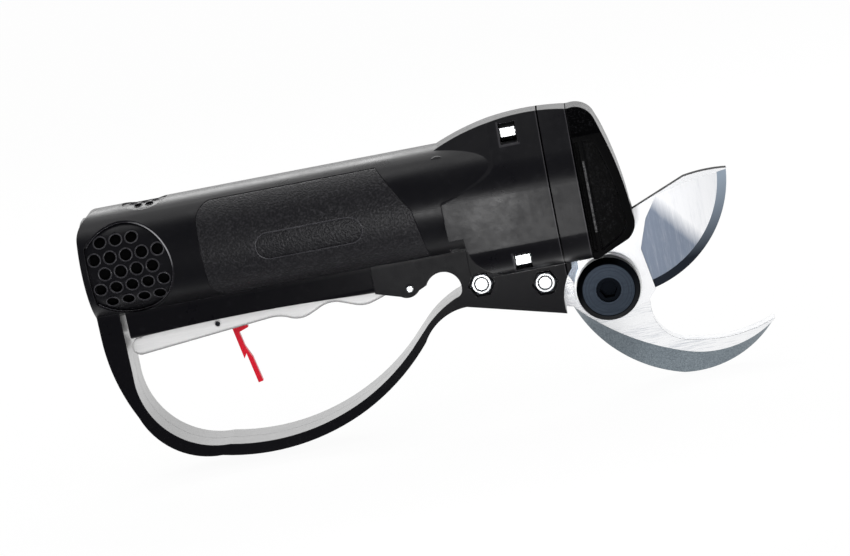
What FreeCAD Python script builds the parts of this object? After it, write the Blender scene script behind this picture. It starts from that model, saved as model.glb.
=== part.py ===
import FreeCAD, Part
import math
import os
import Sketcher

# Hand-held battery pruner. X runs forward along the barrel axis, Z up to the crown of the head,
# Y across the tool. The origin is the mouth of the power inlet, on the barrel axis. Millimetres.
doc = FreeCAD.newDocument("Pruner")
sheet = doc.addObject("Spreadsheet::Sheet", "Sizes")

# ------------------------------------------------------------------ driving dimensions
dimensions = {
    # barrel and shells
    "barrelRadius": 22.5, "shellWall": 2.2, "housingLength": 189, "rearRound": 9,
    "mouthDepth": 4, "mouthRadius": 19.7, "floorRise": 4.1,
    # keel under the barrel, with the slot that takes the lever
    "keelHalf": 10.5, "keelDrop": 31, "keelRear": 11.5, "keelFront": 119, "keelRound": 2.5,
    "keelArch": 665, "slotHalf": 8.4, "slotFloor": 2.5, "slotFront": 130.4,
    # head: crown, facets and belly, shared by housing, collar and nose
    "headRear": 145.5, "apexDrop": 21, "crownEnd": 29, "crownFrontDrop": 27.7, "crownRadius": 93,
    "headHalf": 22.8, "bellyDrop": 33, "bellyFlat": 11, "bellySide": 20, "bellyRound": 16,
    "bulgeRear": 151.5, "bulgeTop": 13.5, "bulgeFoot": 170, "bulgeRound": 19.5,
    "crownHalf": 6.3, "facetTilt": 38, "shoulderRound": 20, "facetRearHalf": 1.3, "facetFlare": 0.21,
    "facetReach": 27, "facetHigh": 3, "facetLow": 34,
    # knuckle guard
    "guardHalf": 11.5, "guardWaist": 9.5, "guardRear": 0, "guardRearInner": 9.3, "guardShoulder": 28,
    "guardHeelX": 7.9, "guardHeelZ": 63, "guardSoleX": 38, "guardSoleZ": 84.6,
    "guardToeX": 128, "guardToeZ": 54.6, "rearSweep": 80, "heelSweep": 31.5, "soleSweep": 91.3,
    "instepSweep": 22, "innerHeelZ": 46, "innerSoleX": 42, "innerSoleZ": 80.6, "innerHeelSweep": 32.5,
    "innerToeX": 122, "innerToeZ": 56.3, "innerSoleSweep": 89, "innerRiseX": 130.5, "innerRiseZ": 47.4,
    "innerCrestX": 143.6, "innerCrestZ": 38.9, "innerCrestSweep": 43, "waistFrom": 100, "waistTo": 142,
    # web between guard and head
    "webRear": 147, "webRearDrop": 43.4, "webFront": 186, "webFrontDrop": 53.6, "webNoseX": 191.2,
    "webNoseDrop": 35.5, "webStep": 33.1, "webFrontSweep": 22,
    # front finger notch
    "notchX": 139.3, "notchDrop": 34.6, "notchRadius": 7.2, "lugRear": 112, "lugX": 122,
    "lugDrop": 34.2,
    "lugTipX": 129.5, "lugTipDrop": 33, "lugSweep": 5.5, "notchFrom": 155, "notchTo": 12,
    "crestRound": 3.2,
    # side and top vents
    "ventX": 17.6, "ventZ": -1.1, "ventRadius": 18.9, "ventEdge": 2.6, "ventDish": 1.4,
    "ventThick": 1.3,
    "ventFit": 0.1, "ventInner": 8, "ventPitch": 6.45, "ventRow": 6.1, "ventHole": 2.45,
    "ventHolesX": 15.4, "ventHolesZ": -0.6, "ventRim": 0.3,
    "topVentX": 27.5, "topVentRadius": 9.2, "topHole": 1.7, "topPitch": 4.6, "topRow": 4,
    # grip panels
    "gripRear": 48.6, "gripFront": 136.6, "gripTop": 19.2, "gripDrop": 19, "gripThick": 1.1,
    "gripProud": 0.15, "gripFit": 0.1, "gripInner": 6, "gripCorner": 7, "gripSlantX": 122,
    "gripNoseX": 133.5, "gripNoseZ": 1.5,
    "labelX": 91.6, "labelZ": -1.5, "labelLong": 43, "labelTall": 10.8, "labelDepth": 0.6,
    # windows for the captive nuts, and the axial screws
    "upperNutBack": 12.7, "upperNutZ": 23, "upperNutY": 4.1, "lowerNutBack": 16, "lowerNutZ": 27.4,
    "lowerNutY": 12, "windowLong": 6.8, "windowTall": 7.6,
    "nutFlats": 6.4, "nutThick": 6, "screwRadius": 2, "screwHeadRadius": 3.4, "screwHead": 3.6,
    "holeFit": 0.1, "beyond": 2, "overlap": 0.5, "rootDrop": 15,
    # bolts through the web
    "boltRearX": 154.5, "boltRearZ": 35.4, "boltFrontX": 179.6, "boltFrontZ": 39.6,
    "webBoltRadius": 2.5, "webNutFlats": 8, "webNutThick": 4, "pocketFlats": 9.6, "pocketDepth": 4.2,
    "webHeadRadius": 4.2, "webHeadThick": 2.6, "webHeadSink": 1.2,
    # collar and nose
    "collarLength": 11.5, "collarWall": 2.4, "collarSlotTop": 10.6, "bulkhead": 7.5,
    "noseHalf": 15.5, "noseShoulderX": 211, "noseShoulderZ": 22, "noseShoulderSweep": 8.5,
    "noseTipX": 218.9, "noseTipZ": 17.2, "noseFrontSweep": 143, "noseChinX": 215.6, "noseChinZ": 27,
    "noseChinSweep": 9, "noseBaseX": 202.4, "noseBaseZ": 32.7, "noseWall": 2.4, "noseRim": 3,
    "noseRecess": 1.6, "noseRib": 1.8, "noseRibX": 203.6, "noseSlotNear": 8, "noseSlotFar": 7.3,
    "noseSlotTop": 15.2, "panelTop": 15, "noseLand": 1, "noseLip": 0.6, "cavityHalf": 12,
    # pivot
    "pivotX": 204, "pivotZ": -46.5, "pivotShank": 5, "pivotHead": 12.8, "pivotFace": 10.7,
    "pivotHeadThick": 7, "pivotWasher": 2, "washerRadius": 13.6, "bushRadius": 7, "pivotFit": 0.05,
    "socketRecess": 4.9, "recessDepth": 1, "socketFlats": 6.4, "socketDepth": 5, "pivotNutFlats": 19,
    "pivotNutThick": 6, "farWasher": 1, "boltProud": 1,
    # blade
    "bladeThick": 4, "hubRadius": 13.5, "tailRadius": 5, "tailFrom": 200, "tailTo": 80,
    "crankLength": 21.5, "openAngle": 41,
    "spineRootX": 205, "spineRootZ": 23.4, "spineKneeX": 241.3, "spineKneeZ": 8.6,
    "tipReach": 54.8, "tipZ": 8.2, "spineSweep": 60, "edgeSweep": 47.3, "heelX": 222.6, "heelZ": 51.7,
    "heelBackX": 218.6, "heelBackZ": 56, "hubFrom": 166, "hubTo": 304, "bevelWide": 3.9,
    "bevelLand": 0.4, "grindDepth": 0.9, "grindTopX": 229.5,
    "grindTopZ": 14, "grindNeckX": 223.7, "grindNeckZ": 22.3, "grindWaistX": 219.6, "grindWaistZ": 34.2,
    "grindCrest": 11,
    "bladeGap": 0.05,
    # hook blade with its tang
    "hookThick": 7, "hookFlank": 5, "tangRear": 148.8, "tangRearLow": 40.9, "tangRearTop": 31.2,
    "tangFrontTop": 34.2, "tangFrontX": 188.6, "hookHub": 14.2, "throatX": 219.6, "throatZ": 57.6,
    "throatSweep": 15.7, "bowlX": 233.9, "bowlZ": 75.8, "bowlSweep": 54.5, "hookTipX": 267.6,
    "hookTipZ": 73, "hookTipLow": 74.2, "hookBackX": 228, "hookBackZ": 89.9, "hookOuterSweep": 43,
    "hookHeelX": 188.2, "hookHeelZ": 53.2, "hookHeelSweep": 57.4, "hubRise": 125, "hubRight": 30,
    "flankTipX": 267.3, "flankTipZ": 73.7, "flankMidX": 231.8, "flankMidZ": 80.6, "flankOuterSweep": 40,
    "flankHeelX": 188.6, "flankHeelZ": 53.4, "flankHeelSweep": 100, "tangFit": 0.1, "tangClear": 1,
    # finger lever
    "leverHalf": 8, "leverPivotX": 126, "leverPivotZ": -31.5, "leverBoss": 3.3, "leverPinRadius": 1.5,
    "leverRear": 11, "leverRearTop": 31.3, "leverRearLow": 38.3, "leverStepFrom": 15.5,
    "leverStepTo": 20, "leverTop": 28.2, "fingerRearX": 68, "fingerRearZ": 33.2,
    "fingerFrontX": 118, "fingerFrontZ": 32.1, "leadSweep": 15.4, "rearSwellX": 76, "rearSwellZ": 34.6,
    "rearSwell": 10.2, "rearSwellEndX": 84.5, "rearSwellEndZ": 34.7, "valleyX": 89.5, "valleyZ": 32.48,
    "valleySweep": 10.5, "valleyEndX": 97.5, "valleyEndZ": 32.25, "frontSwellX": 103,
    "frontSwellZ": 34.32, "frontSwell": 11.4, "frontSwellEndX": 110.5, "frontSwellEndZ": 34.5,
    "leverWall": 1.8, "notchWall": 3, "springRoom": 1, "hollowRear": 29, "hollowRearDrop": 34.5,
    "hollowKneeX": 62, "hollowFront": 116,
    "hollowFrontDrop": 30, "leverTipRound": 3.5, "pinFit": 0.05,
    # red safety catch, points from its pivot
    "catchHeelX": -0.7, "catchHeelZ": 2.19, "catchStemX": 4.4, "catchStemZ": 3.9, "barbX": 6.8,
    "barbZ": 17.6, "barbRootX": 8, "barbRootZ": 15.6, "catchToeX": 10.4, "catchToeZ": 28.4,
    "catchEndX": 12.4, "catchEndZ": 28, "catchShinX": 10.3, "catchShinZ": 17.6, "catchKneeX": 8.1,
    "catchKneeZ": 12.6, "catchNeckX": 6.9, "catchNeckZ": 6.4, "catchNubX": 10.9, "catchNubZ": 5,
    "catchNubTop": 3.8, "catchTopX": 1.2, "catchTopZ": 1.95,
    "catchPivotX": 46.9, "catchPivotZ": -31.6, "catchBoss": 2.3, "catchPin": 1, "catchHalf": 1.2,
    "catchSlotHalf": 1.6, "catchSlotRear": 44, "catchSlotFront": 59,
    # drive
    "driveX": 122, "screwRadiusDrive": 6, "screwJournal": 4, "journalX": 190, "screwEnd": 196,
    "screwFlange": 8,
    "nutRadius": 9, "nutLong": 16, "sleeveRadius": 12.4, "sleeveX": 151, "sleeveLong": 17.5,
    "cheekThick": 3.2, "cheekGap": 0.3, "prongHalf": 5.4, "prongDrop": 31.6, "slotTop": 21.2,
    "rollerRadius": 3.1, "rollerFit": 0.4, "crankPin": 2, "restLag": 0.29, "armTop": 11,
    "armDrop": 17.6,
    "sleeveDrop": 15, "runFit": 0.06, "tailSweepZ": 44.5, "tailFrontX": 188.5,
    "trackHalf": 8.3, "trackRear": 182, "trackDrop": 34,
    # motor and gearbox
    "canRadius": 17.8, "canWall": 1.4, "motorX": 44, "motorEnd": 92, "gearboxEnd": 118,
    "statorBore": 11.7, "rotorRadius": 11.2, "shaftRadius": 2.5, "windingRear": 52, "windingFront": 84,
    "hubWall": 1.6,
    "sunRadius": 4, "planetRadius": 4.2, "gearGap": 0.1, "sunRear": 95.6, "sunFront": 106,
    "carrierRear": 107, "carrierFront": 110.4, "carrierRadius": 12, "planetPin": 1.5, "planetRear": 96,
    "planetFront": 106.6, "caseWall": 2.5, "bearingOuter": 6.4,
    "bearingWide": 4, "shaftHole": 3.4, "thrustRadius": 11.6, "thrustWide": 4, "frontBearing": 9,
    "frontBearingWide": 4.4, "ribThick": 3, "ribGap": 1, "canFit": 0.05,
    # electronics
    "boardRear": 5, "boardNotch": 13.6, "boardNeck": 9.6, "boardStep": 35, "boardFront": 42,
    "boardHalf": 16.5, "boardThick": 1.6,
    "hallRear": 20, "hallFront": 30, "hallHalf": 6, "hallThick": 1.2, "magnetX": 25,
    "magnetRadius": 2.5, "magnetLong": 2,
    "postRear": 12, "postFront": 33, "postTop": 12, "postRadius": 2,
    "inletRadius": 7, "inletBore": 4.6, "inletDepth": 10, "inletLong": 13, "inletFlange": 9,
    "flangeThick": 2, "capFace": 0.4, "capThick": 3.4, "capRadius": 19.6, "capDome": 1,
    # housing screws and springs
    "caseScrew": 1.5, "caseScrewHead": 2.8, "caseHeadThick": 2, "bossRadius": 3.8,
    "bossRearX": 39.6, "bossShort": 1.6, "bossRearZ": 14.5, "bossMidX": 146.8, "bossMidZ": 15.6,
    "strapScrewX": 4.7,
    "strapScrewZ": 41, "wireRadius": 0.5, "leverSpringRadius": 2.4, "leverSpringTurns": 3,
    "catchSpringRadius": 1.75, "catchSpringTurns": 2, "springHalf": 3.4,
}


class Size:
    # A length or an angle, kept together with the sheet expression that gives it.
    def __init__(self, value, text):
        self.value = value
        self.text = text

    def __add__(self, other):
        other = sized(other)
        return Size(self.value + other.value, f"({self.text} + {other.text})")

    def __sub__(self, other):
        other = sized(other)
        return Size(self.value - other.value, f"({self.text} - {other.text})")

    def __rsub__(self, other):
        return sized(other) - self

    def __mul__(self, other):
        other = sized(other)
        return Size(self.value * other.value, f"({self.text} * {other.text})")

    def __truediv__(self, other):
        other = sized(other)
        return Size(self.value / other.value, f"({self.text} / {other.text})")

    def __neg__(self):
        return Size(-self.value, f"(0 - {self.text})")

    __radd__ = __add__
    __rmul__ = __mul__


def sized(value):
    return value if isinstance(value, Size) else Size(float(value), f"({float(value)})")


def sine(angle):
    return Size(math.sin(math.radians(angle.value)), f"sin({angle.text})")


def cosine(angle):
    return Size(math.cos(math.radians(angle.value)), f"cos({angle.text})")


def root(size):
    return Size(math.sqrt(size.value), f"sqrt({size.text})")


def chordHalf(radius, distance):
    # half the chord of a circle, at a distance from its centre
    return root(radius * radius - distance * distance)


class Sheet:
    # gives every alias of the sheet as a Size
    def __getattr__(self, alias):
        return Size(float(sheet.get(alias)), f"{sheet.Name}.{alias}")


for row, (alias, value) in enumerate(dimensions.items(), start=1):
    sheet.set(f"A{row}", alias)
    sheet.set(f"B{row}", str(value))
    sheet.setAlias(f"B{row}", alias)
doc.recompute()
s = Sheet()
zero = sized(0)
near = -1
far = 1
subparts = []


# ------------------------------------------------------------------ sketch helpers
def bind(item, name, size):
    item.setExpression(name, size.text)


def newBody(label, x=zero, y=zero, z=zero):
    body = doc.addObject("PartDesign::Body", label)
    body.Label = label
    body.Placement.Base = FreeCAD.Vector(x.value, y.value, z.value)
    for axis, size in (("x", x), ("y", y), ("z", z)):
        bind(body, f"Placement.Base.{axis}", size)
    return body


def finish(item, label):
    item.Label = label
    subparts.append(item)
    return item


def newSketch(body, name, role, offset=zero):
    sketch = body.newObject("Sketcher::SketchObject", name)
    support = [item for item in body.Origin.OriginFeatures if item.Role == role][0]
    sketch.AttachmentSupport = [(support, "")]
    sketch.MapMode = "FlatFace"
    sketch.AttachmentOffset = FreeCAD.Placement(FreeCAD.Vector(0, 0, offset.value), FreeCAD.Rotation())
    bind(sketch, "AttachmentOffset.Base.z", offset)
    return sketch


def dimension(sketch, size, *constraint):
    index = sketch.addConstraint(Sketcher.Constraint(*constraint, size.value))
    bind(sketch, f"Constraints[{index}]", size)


def pin(sketch, item, vertex, x, z):
    dimension(sketch, sized(x), "DistanceX", -1, 1, item, vertex)
    dimension(sketch, sized(z), "DistanceY", -1, 1, item, vertex)


def circle(sketch, x, z, radius):
    x, z = sized(x), sized(z)
    centre = FreeCAD.Vector(x.value, z.value, 0)
    item = sketch.addGeometry(Part.Circle(centre, FreeCAD.Vector(0, 0, 1), radius.value))
    pin(sketch, item, 3, x, z)
    dimension(sketch, radius, "Radius", item)


def circles(sketch, places, radius):
    for x, z in places:
        circle(sketch, x, z, radius)


def arcBetween(start, end, radius, long):
    # a positive radius turns left on the way from start to end
    chord = end - start
    height = math.sqrt(max(radius * radius - chord.Length ** 2 / 4, 0))
    left = FreeCAD.Vector(-chord.y, chord.x, 0).normalize()
    side = 1 if (radius > 0) != long else -1
    centre = (start + end) * 0.5 + left * (height * side)
    round_ = Part.Circle(centre, FreeCAD.Vector(0, 0, 1), abs(radius))
    first, last = (start, end) if radius > 0 else (end, start)
    angles = [math.atan2(point.y - centre.y, point.x - centre.x) for point in (first, last)]
    return Part.ArcOfCircle(round_, *angles)


def outline(sketch, corners):
    # each corner is (x, z), or (x, z, radius) when an arc leads to it, with True after for a long arc
    points = [FreeCAD.Vector(sized(c[0]).value, sized(c[1]).value, 0) for c in corners]
    items = []
    for index, corner in enumerate(corners):
        start, end = points[index - 1], points[index]
        if len(corner) > 2:
            radius = sized(corner[2])
            item = sketch.addGeometry(arcBetween(start, end, radius.value, len(corner) > 3))
            ends = (1, 2) if radius.value > 0 else (2, 1)
            size = radius if radius.value > 0 else -radius
            items.append((item, ends, size))
        else:
            items.append((sketch.addGeometry(Part.LineSegment(start, end)), (1, 2), None))
    for index, (item, ends, size) in enumerate(items):
        following, followingEnds, _ = items[(index + 1) % len(items)]
        join = (item, ends[1], following, followingEnds[0])
        sketch.addConstraint(Sketcher.Constraint("Coincident", *join))
        pin(sketch, item, ends[1], corners[index][0], corners[index][1])
        if size is None:
            continue
        start, end = points[index - 1], points[index]
        if (end - start).Length < 1.9999 * size.value:
            dimension(sketch, size, "Radius", item)
        elif abs(end.x - start.x) < abs(end.y - start.y):
            dimension(sketch, sized(corners[index][0]), "DistanceX", -1, 1, item, 3)
        else:
            dimension(sketch, sized(corners[index][1]), "DistanceY", -1, 1, item, 3)


def rectangle(sketch, left, low, right, high):
    outline(sketch, [(left, low), (right, low), (right, high), (left, high)])


def hexagon(sketch, x, z, flats, upright=False):
    # corners along the first axis of the sketch, or along the second when upright
    half = flats / 2
    reach = flats / (2 * cosine(sized(30)))
    corners = [(-reach / 2, -half), (reach / 2, -half), (reach, zero),
               (reach / 2, half), (-reach / 2, half), (-reach, zero)]
    if upright:
        corners = [(-high, along) for along, high in corners]
    outline(sketch, [(x + along, z + high) for along, high in corners])


# The normal of each origin plane, and the sign that turns its offset into a coordinate.
planes = {"y": ("XZ_Plane", -1), "x": ("YZ_Plane", 1), "z": ("XY_Plane", 1)}


def extrude(body, name, axis, start, end, draw, cut=False, lean=None):
    # a pad or a pocket between two values of one coordinate; lean is its drift across the tool
    start, end = sized(start), sized(end)
    role, sign = planes[axis]
    sketch = newSketch(body, name + "Sketch", role, start * sign)
    draw(sketch)
    doc.recompute()
    kind = "PartDesign::Pocket" if cut else "PartDesign::Pad"
    feature = body.newObject(kind, name)
    feature.Profile = sketch
    alongNormal = (end.value - start.value) * sign > 0
    feature.Reversed = (alongNormal if cut else not alongNormal) and lean is None
    length = end - start if end.value > start.value else start - end
    feature.Length = length.value
    bind(feature, "Length", length)
    feature.Refine = "housing" not in body.Label
    if lean is not None:
        feature.UseCustomVector = True
        feature.Direction = FreeCAD.Vector(1, lean.value, 0)
        bind(feature, "Direction.y", lean)
        feature.AlongSketchNormal = True
    doc.recompute()
    return feature


def pad(body, name, axis, start, end, draw):
    return extrude(body, name, axis, start, end, draw)


def pocket(body, name, axis, start, end, draw, lean=None):
    before = body.Shape.Volume
    feature = extrude(body, name, axis, start, end, draw, cut=True, lean=lean)
    if body.Shape.Volume > before - 1e-3:
        raise RuntimeError(f"{body.Label}: {name} cuts nothing")
    return feature


def turn(body, name, draw, cut=False, alongY=False, side=None):
    # a revolved profile about the local X axis, or about the local Y axis; half a turn with a side
    sketch = newSketch(body, name + "Sketch", "XY_Plane" if alongY else "XZ_Plane")
    draw(sketch)
    doc.recompute()
    feature = body.newObject("PartDesign::Groove" if cut else "PartDesign::Revolution", name)
    feature.Profile = sketch
    feature.ReferenceAxis = (sketch, ["V_Axis" if alongY else "H_Axis"])
    feature.Angle = 360 if side is None else 180
    feature.Reversed = side == far
    feature.Refine = "housing" not in body.Label
    doc.recompute()
    return feature


def turned(label, corners, x=zero, y=zero, z=zero):
    # corners are (along X, radius)
    body = newBody(label, x, y, z)
    turn(body, "turned", lambda sketch: outline(sketch, corners))
    return body


def turnedAcross(label, corners, x, z):
    # corners are (radius, along Y)
    body = newBody(label, x, zero, z)
    turn(body, "turned", lambda sketch: outline(sketch, corners), alongY=True)
    return body


def ring(label, inner, outer, start, end, x=zero, y=zero, z=zero):
    return turned(label, [(start, inner), (end, inner), (end, outer), (start, outer)], x, y, z)


def group(label, items):
    compound = doc.addObject("Part::Compound", label)
    compound.Links = items
    doc.recompute()
    return finish(compound, label)


def cutBy(label, base, tools):
    # the base body less the tool bodies
    tool = tools[0]
    if len(tools) > 1:
        tool = doc.addObject("Part::MultiFuse", label + "Tools")
        tool.Shapes = tools
    cutter = doc.addObject("Part::Cut", label)
    cutter.Base = base
    cutter.Tool = tool
    doc.recompute()
    return finish(cutter, label)


def chamfer(body, name, edges, first, second=None):
    base = body.Tip
    feature = body.newObject("PartDesign::Chamfer", name)
    feature.Base = (base, edges)
    feature.Size = first.value
    bind(feature, "Size", first)
    if second is not None:
        feature.ChamferType = "Two distances"
        feature.Size2 = second.value
        bind(feature, "Size2", second)
    doc.recompute()
    return feature


def edgesWhere(body, test):
    return [f"Edge{index}" for index, edge in enumerate(body.Shape.Edges, start=1) if test(edge)]


# ------------------------------------------------------------------ places shared by several pieces
collarFront = s.housingLength + s.collarLength
crankX = s.pivotX - s.crankLength * sine(s.openAngle)
crankZ = s.pivotZ + s.crankLength * cosine(s.openAngle)
forkX = crankX - s.restLag
bladeNear = -s.bladeThick
washerNear = bladeNear - s.pivotWasher
headNear = washerNear - s.pivotHeadThick
hookFar = s.hookThick + s.bladeGap
boreRadius = s.barrelRadius - s.shellWall
caseSeat = s.guardHalf - s.caseHeadThick
screwPlaces = [(s.bossRearX, s.bossRearZ), (s.bossRearX, -s.bossRearZ),
               (s.bossMidX, s.bossMidZ), (s.bossMidX, -s.bossMidZ)]
webBolts = [(s.boltRearX, -s.boltRearZ), (s.boltFrontX, -s.boltFrontZ)]
upperNutX = s.housingLength - s.upperNutBack
lowerNutX = s.housingLength - s.lowerNutBack
nutPlaces = [(upperNutX, s.upperNutY, s.upperNutZ), (lowerNutX, s.lowerNutY, -s.lowerNutZ)]
floorDrop = s.barrelRadius - s.floorRise
slotRoof = floorDrop + s.slotFloor
tipX = s.pivotX + s.tipReach
bossReach = chordHalf(boreRadius, s.bossRearZ) - s.bossShort
facetSpread = sine(s.facetTilt) / cosine(s.facetTilt)


def sided(side, corners):
    # corners drawn for the far side, mirrored for the near one
    if side == far:
        return corners
    flipped = []
    for corner in corners:
        first = -sized(corner[0])
        if len(corner) > 2:
            flipped.append((first, corner[1], -sized(corner[2])) + tuple(corner[3:]))
        else:
            flipped.append((first, corner[1]))
    return flipped


# ------------------------------------------------------------------ head form, shared by three pieces
def crownCut(body, half):
    top = s.crownEnd + s.facetHigh + s.beyond
    front = collarFront + s.beyond
    corners = [(s.headRear - s.beyond, s.apexDrop), (s.headRear, s.apexDrop),
               (collarFront, s.crownFrontDrop, -s.crownRadius), (front, s.crownFrontDrop),
               (front, top), (s.headRear - s.beyond, top)]
    pocket(body, "crown", "y", -half, half, lambda sketch: outline(sketch, corners))


def flankHalf(drop):
    # half width of the flat flank, at a drop below the end of the crown
    return s.crownHalf + facetSpread * drop


def facetCut(body, side):
    # the flat flank starts narrow on the apex and opens until it meets the one of the head section
    spread = facetSpread * s.facetHigh
    outer = s.facetRearHalf + facetSpread * s.facetLow
    wide = outer + s.headHalf
    high, low = s.crownEnd + s.facetHigh, s.crownEnd - s.facetLow
    corners = sided(side, [(s.facetRearHalf - spread, high), (outer, low), (wide, low), (wide, high)])
    name = "nearFacet" if side == near else "farFacet"
    pocket(body, name, "x", s.headRear - s.overlap, s.headRear + s.facetReach,
           lambda sketch: outline(sketch, corners), lean=s.facetFlare * side)


def headSection(side):
    # half of the section: flat belly, round flank, round shoulder, flat facet and crown
    top = s.crownEnd + s.facetHigh
    shoulder = s.headHalf - s.shoulderRound * (1 - cosine(s.facetTilt))
    shoulderZ = s.crownEnd - (shoulder - s.crownHalf) / facetSpread
    rise = shoulderZ - s.shoulderRound * sine(s.facetTilt)
    return sided(side, [(zero, -s.bellyDrop), (s.bellyFlat, -s.bellyDrop),
                        (s.headHalf, -s.bellySide, s.bellyRound), (s.headHalf, rise),
                        (shoulder, shoulderZ, s.shoulderRound), (flankHalf(-s.facetHigh), top),
                        (zero, top)])


# ------------------------------------------------------------------ housing shells
def guardOutline():
    # knuckle guard, front web and the lug of the lever, as one band with both ends inside the barrel
    notchStart = (s.notchX + s.notchRadius * cosine(s.notchFrom),
                  -s.notchDrop + s.notchRadius * sine(s.notchFrom))
    notchEnd = (s.notchX + s.notchRadius * cosine(s.notchTo),
                -s.notchDrop - s.notchRadius * sine(s.notchTo), -s.notchRadius)
    rootZ = -s.rootDrop
    return [(s.guardRear, rootZ), (s.guardRear, -s.guardShoulder),
            (s.guardHeelX, -s.guardHeelZ, s.rearSweep), (s.guardSoleX, -s.guardSoleZ, s.heelSweep),
            (s.guardToeX, -s.guardToeZ, s.soleSweep), (s.webRear, -s.webRearDrop, -s.instepSweep),
            (s.webFront, -s.webFrontDrop), (s.webNoseX, -s.webNoseDrop, -s.webFrontSweep),
            (s.webNoseX, -s.webStep), (s.housingLength, -s.webStep), (s.housingLength, rootZ),
            (s.lugRear, rootZ), (s.lugRear, -s.keelDrop), (s.lugX, -s.lugDrop),
            (s.lugTipX, -s.lugTipDrop, s.lugSweep), notchStart, notchEnd,
            (s.innerCrestX, -s.innerCrestZ, -s.crestRound),
            (s.innerRiseX, -s.innerRiseZ, s.innerCrestSweep), (s.innerToeX, -s.innerToeZ),
            (s.innerSoleX, -s.innerSoleZ, -s.innerSoleSweep),
            (s.guardRearInner, -s.innerHeelZ, -s.innerHeelSweep), (s.guardRearInner, rootZ)]


def trimPlan(body, side):
    # the guard narrows from its full width to the width of the web
    low = s.guardSoleZ + s.beyond
    wide = s.guardHalf + s.beyond
    step = s.headRear - s.overlap
    bulge = s.bulgeRear - s.overlap
    cuts = [("waist", [(s.waistFrom, s.guardHalf), (s.waistTo, s.guardWaist), (step, s.guardWaist),
                       (step, wide), (s.waistFrom, wide)], s.rootDrop - s.overlap),
            ("web", [(step, s.guardWaist), (bulge, s.guardWaist), (bulge, wide), (step, wide)],
             s.bellySide),
            ("webFoot", [(bulge, s.guardWaist), (s.webNoseX + s.beyond, s.guardWaist),
                         (s.webNoseX + s.beyond, wide), (bulge, wide)], s.webStep)]
    for name, corners, drop in cuts:
        mirrored = [(x, y * side) for x, y in corners]
        pocket(body, name, "z", -low, -drop, lambda sketch: outline(sketch, mirrored))


def ventCorners(growth):
    # a circle cut off by a chord near the rear edge
    radius = s.ventRadius + growth
    edge = s.ventEdge - growth
    half = chordHalf(radius, s.ventX - edge)
    return [(edge, s.ventZ - half), (edge, s.ventZ + half, radius, True)]


def housingShell(side):
    name = "right_housing_shell" if side == near else "left_housing_shell"
    body = newBody(name + "_blank")
    span = s.headHalf * side
    pad(body, "head", "x", s.headRear, s.housingLength,
        lambda sketch: outline(sketch, headSection(side)))
    crownCut(body, s.headHalf + s.beyond)
    bulge = [(s.headRear - s.beyond, -s.bulgeTop), (s.bulgeRear, -s.bulgeTop),
             (s.bulgeFoot, -s.bellyDrop - s.overlap, s.bulgeRound),
             (s.bulgeFoot, -s.bellyDrop - s.beyond), (s.headRear - s.beyond, -s.bellyDrop - s.beyond)]
    pocket(body, "bulge", "y", zero, span + s.beyond * side, lambda sketch: outline(sketch, bulge))
    facetCut(body, side)
    pad(body, "guard", "y", zero, s.guardHalf * side, lambda sketch: outline(sketch, guardOutline()))
    trimPlan(body, side)
    arc = sided(side, [(zero, s.barrelRadius, s.barrelRadius), (zero, -s.barrelRadius)])
    pad(body, "barrel", "x", zero, s.housingLength, lambda sketch: outline(sketch, arc))
    keel = [(zero, -s.keelDrop), (s.keelHalf - s.keelRound, -s.keelDrop),
            (s.keelHalf, -s.keelDrop + s.keelRound, s.keelRound), (s.keelHalf, -s.rootDrop),
            (zero, -s.rootDrop)]
    pad(body, "keel", "x", s.keelRear, s.keelFront,
        lambda sketch: outline(sketch, sided(side, keel)))
    arch = [(s.keelRear, -s.keelDrop - s.beyond), (s.lugRear, -s.keelDrop - s.beyond),
            (s.lugRear, -s.keelDrop), (s.keelRear, -s.keelDrop, s.keelArch)]
    pocket(body, "arch", "y", zero, s.keelHalf * side, lambda sketch: outline(sketch, arch))
    crest = s.barrelRadius
    corner = [(s.guardRear - s.beyond, crest - s.rearRound), (s.guardRear, crest - s.rearRound),
              (s.guardRear + s.rearRound, crest, -s.rearRound),
              (s.guardRear + s.rearRound, crest + s.beyond), (s.guardRear - s.beyond, crest + s.beyond)]
    pocket(body, "rearRound", "y", zero, span, lambda sketch: outline(sketch, corner))
    hollowShell(body, side)
    fastenShell(body, side)
    return body


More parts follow.
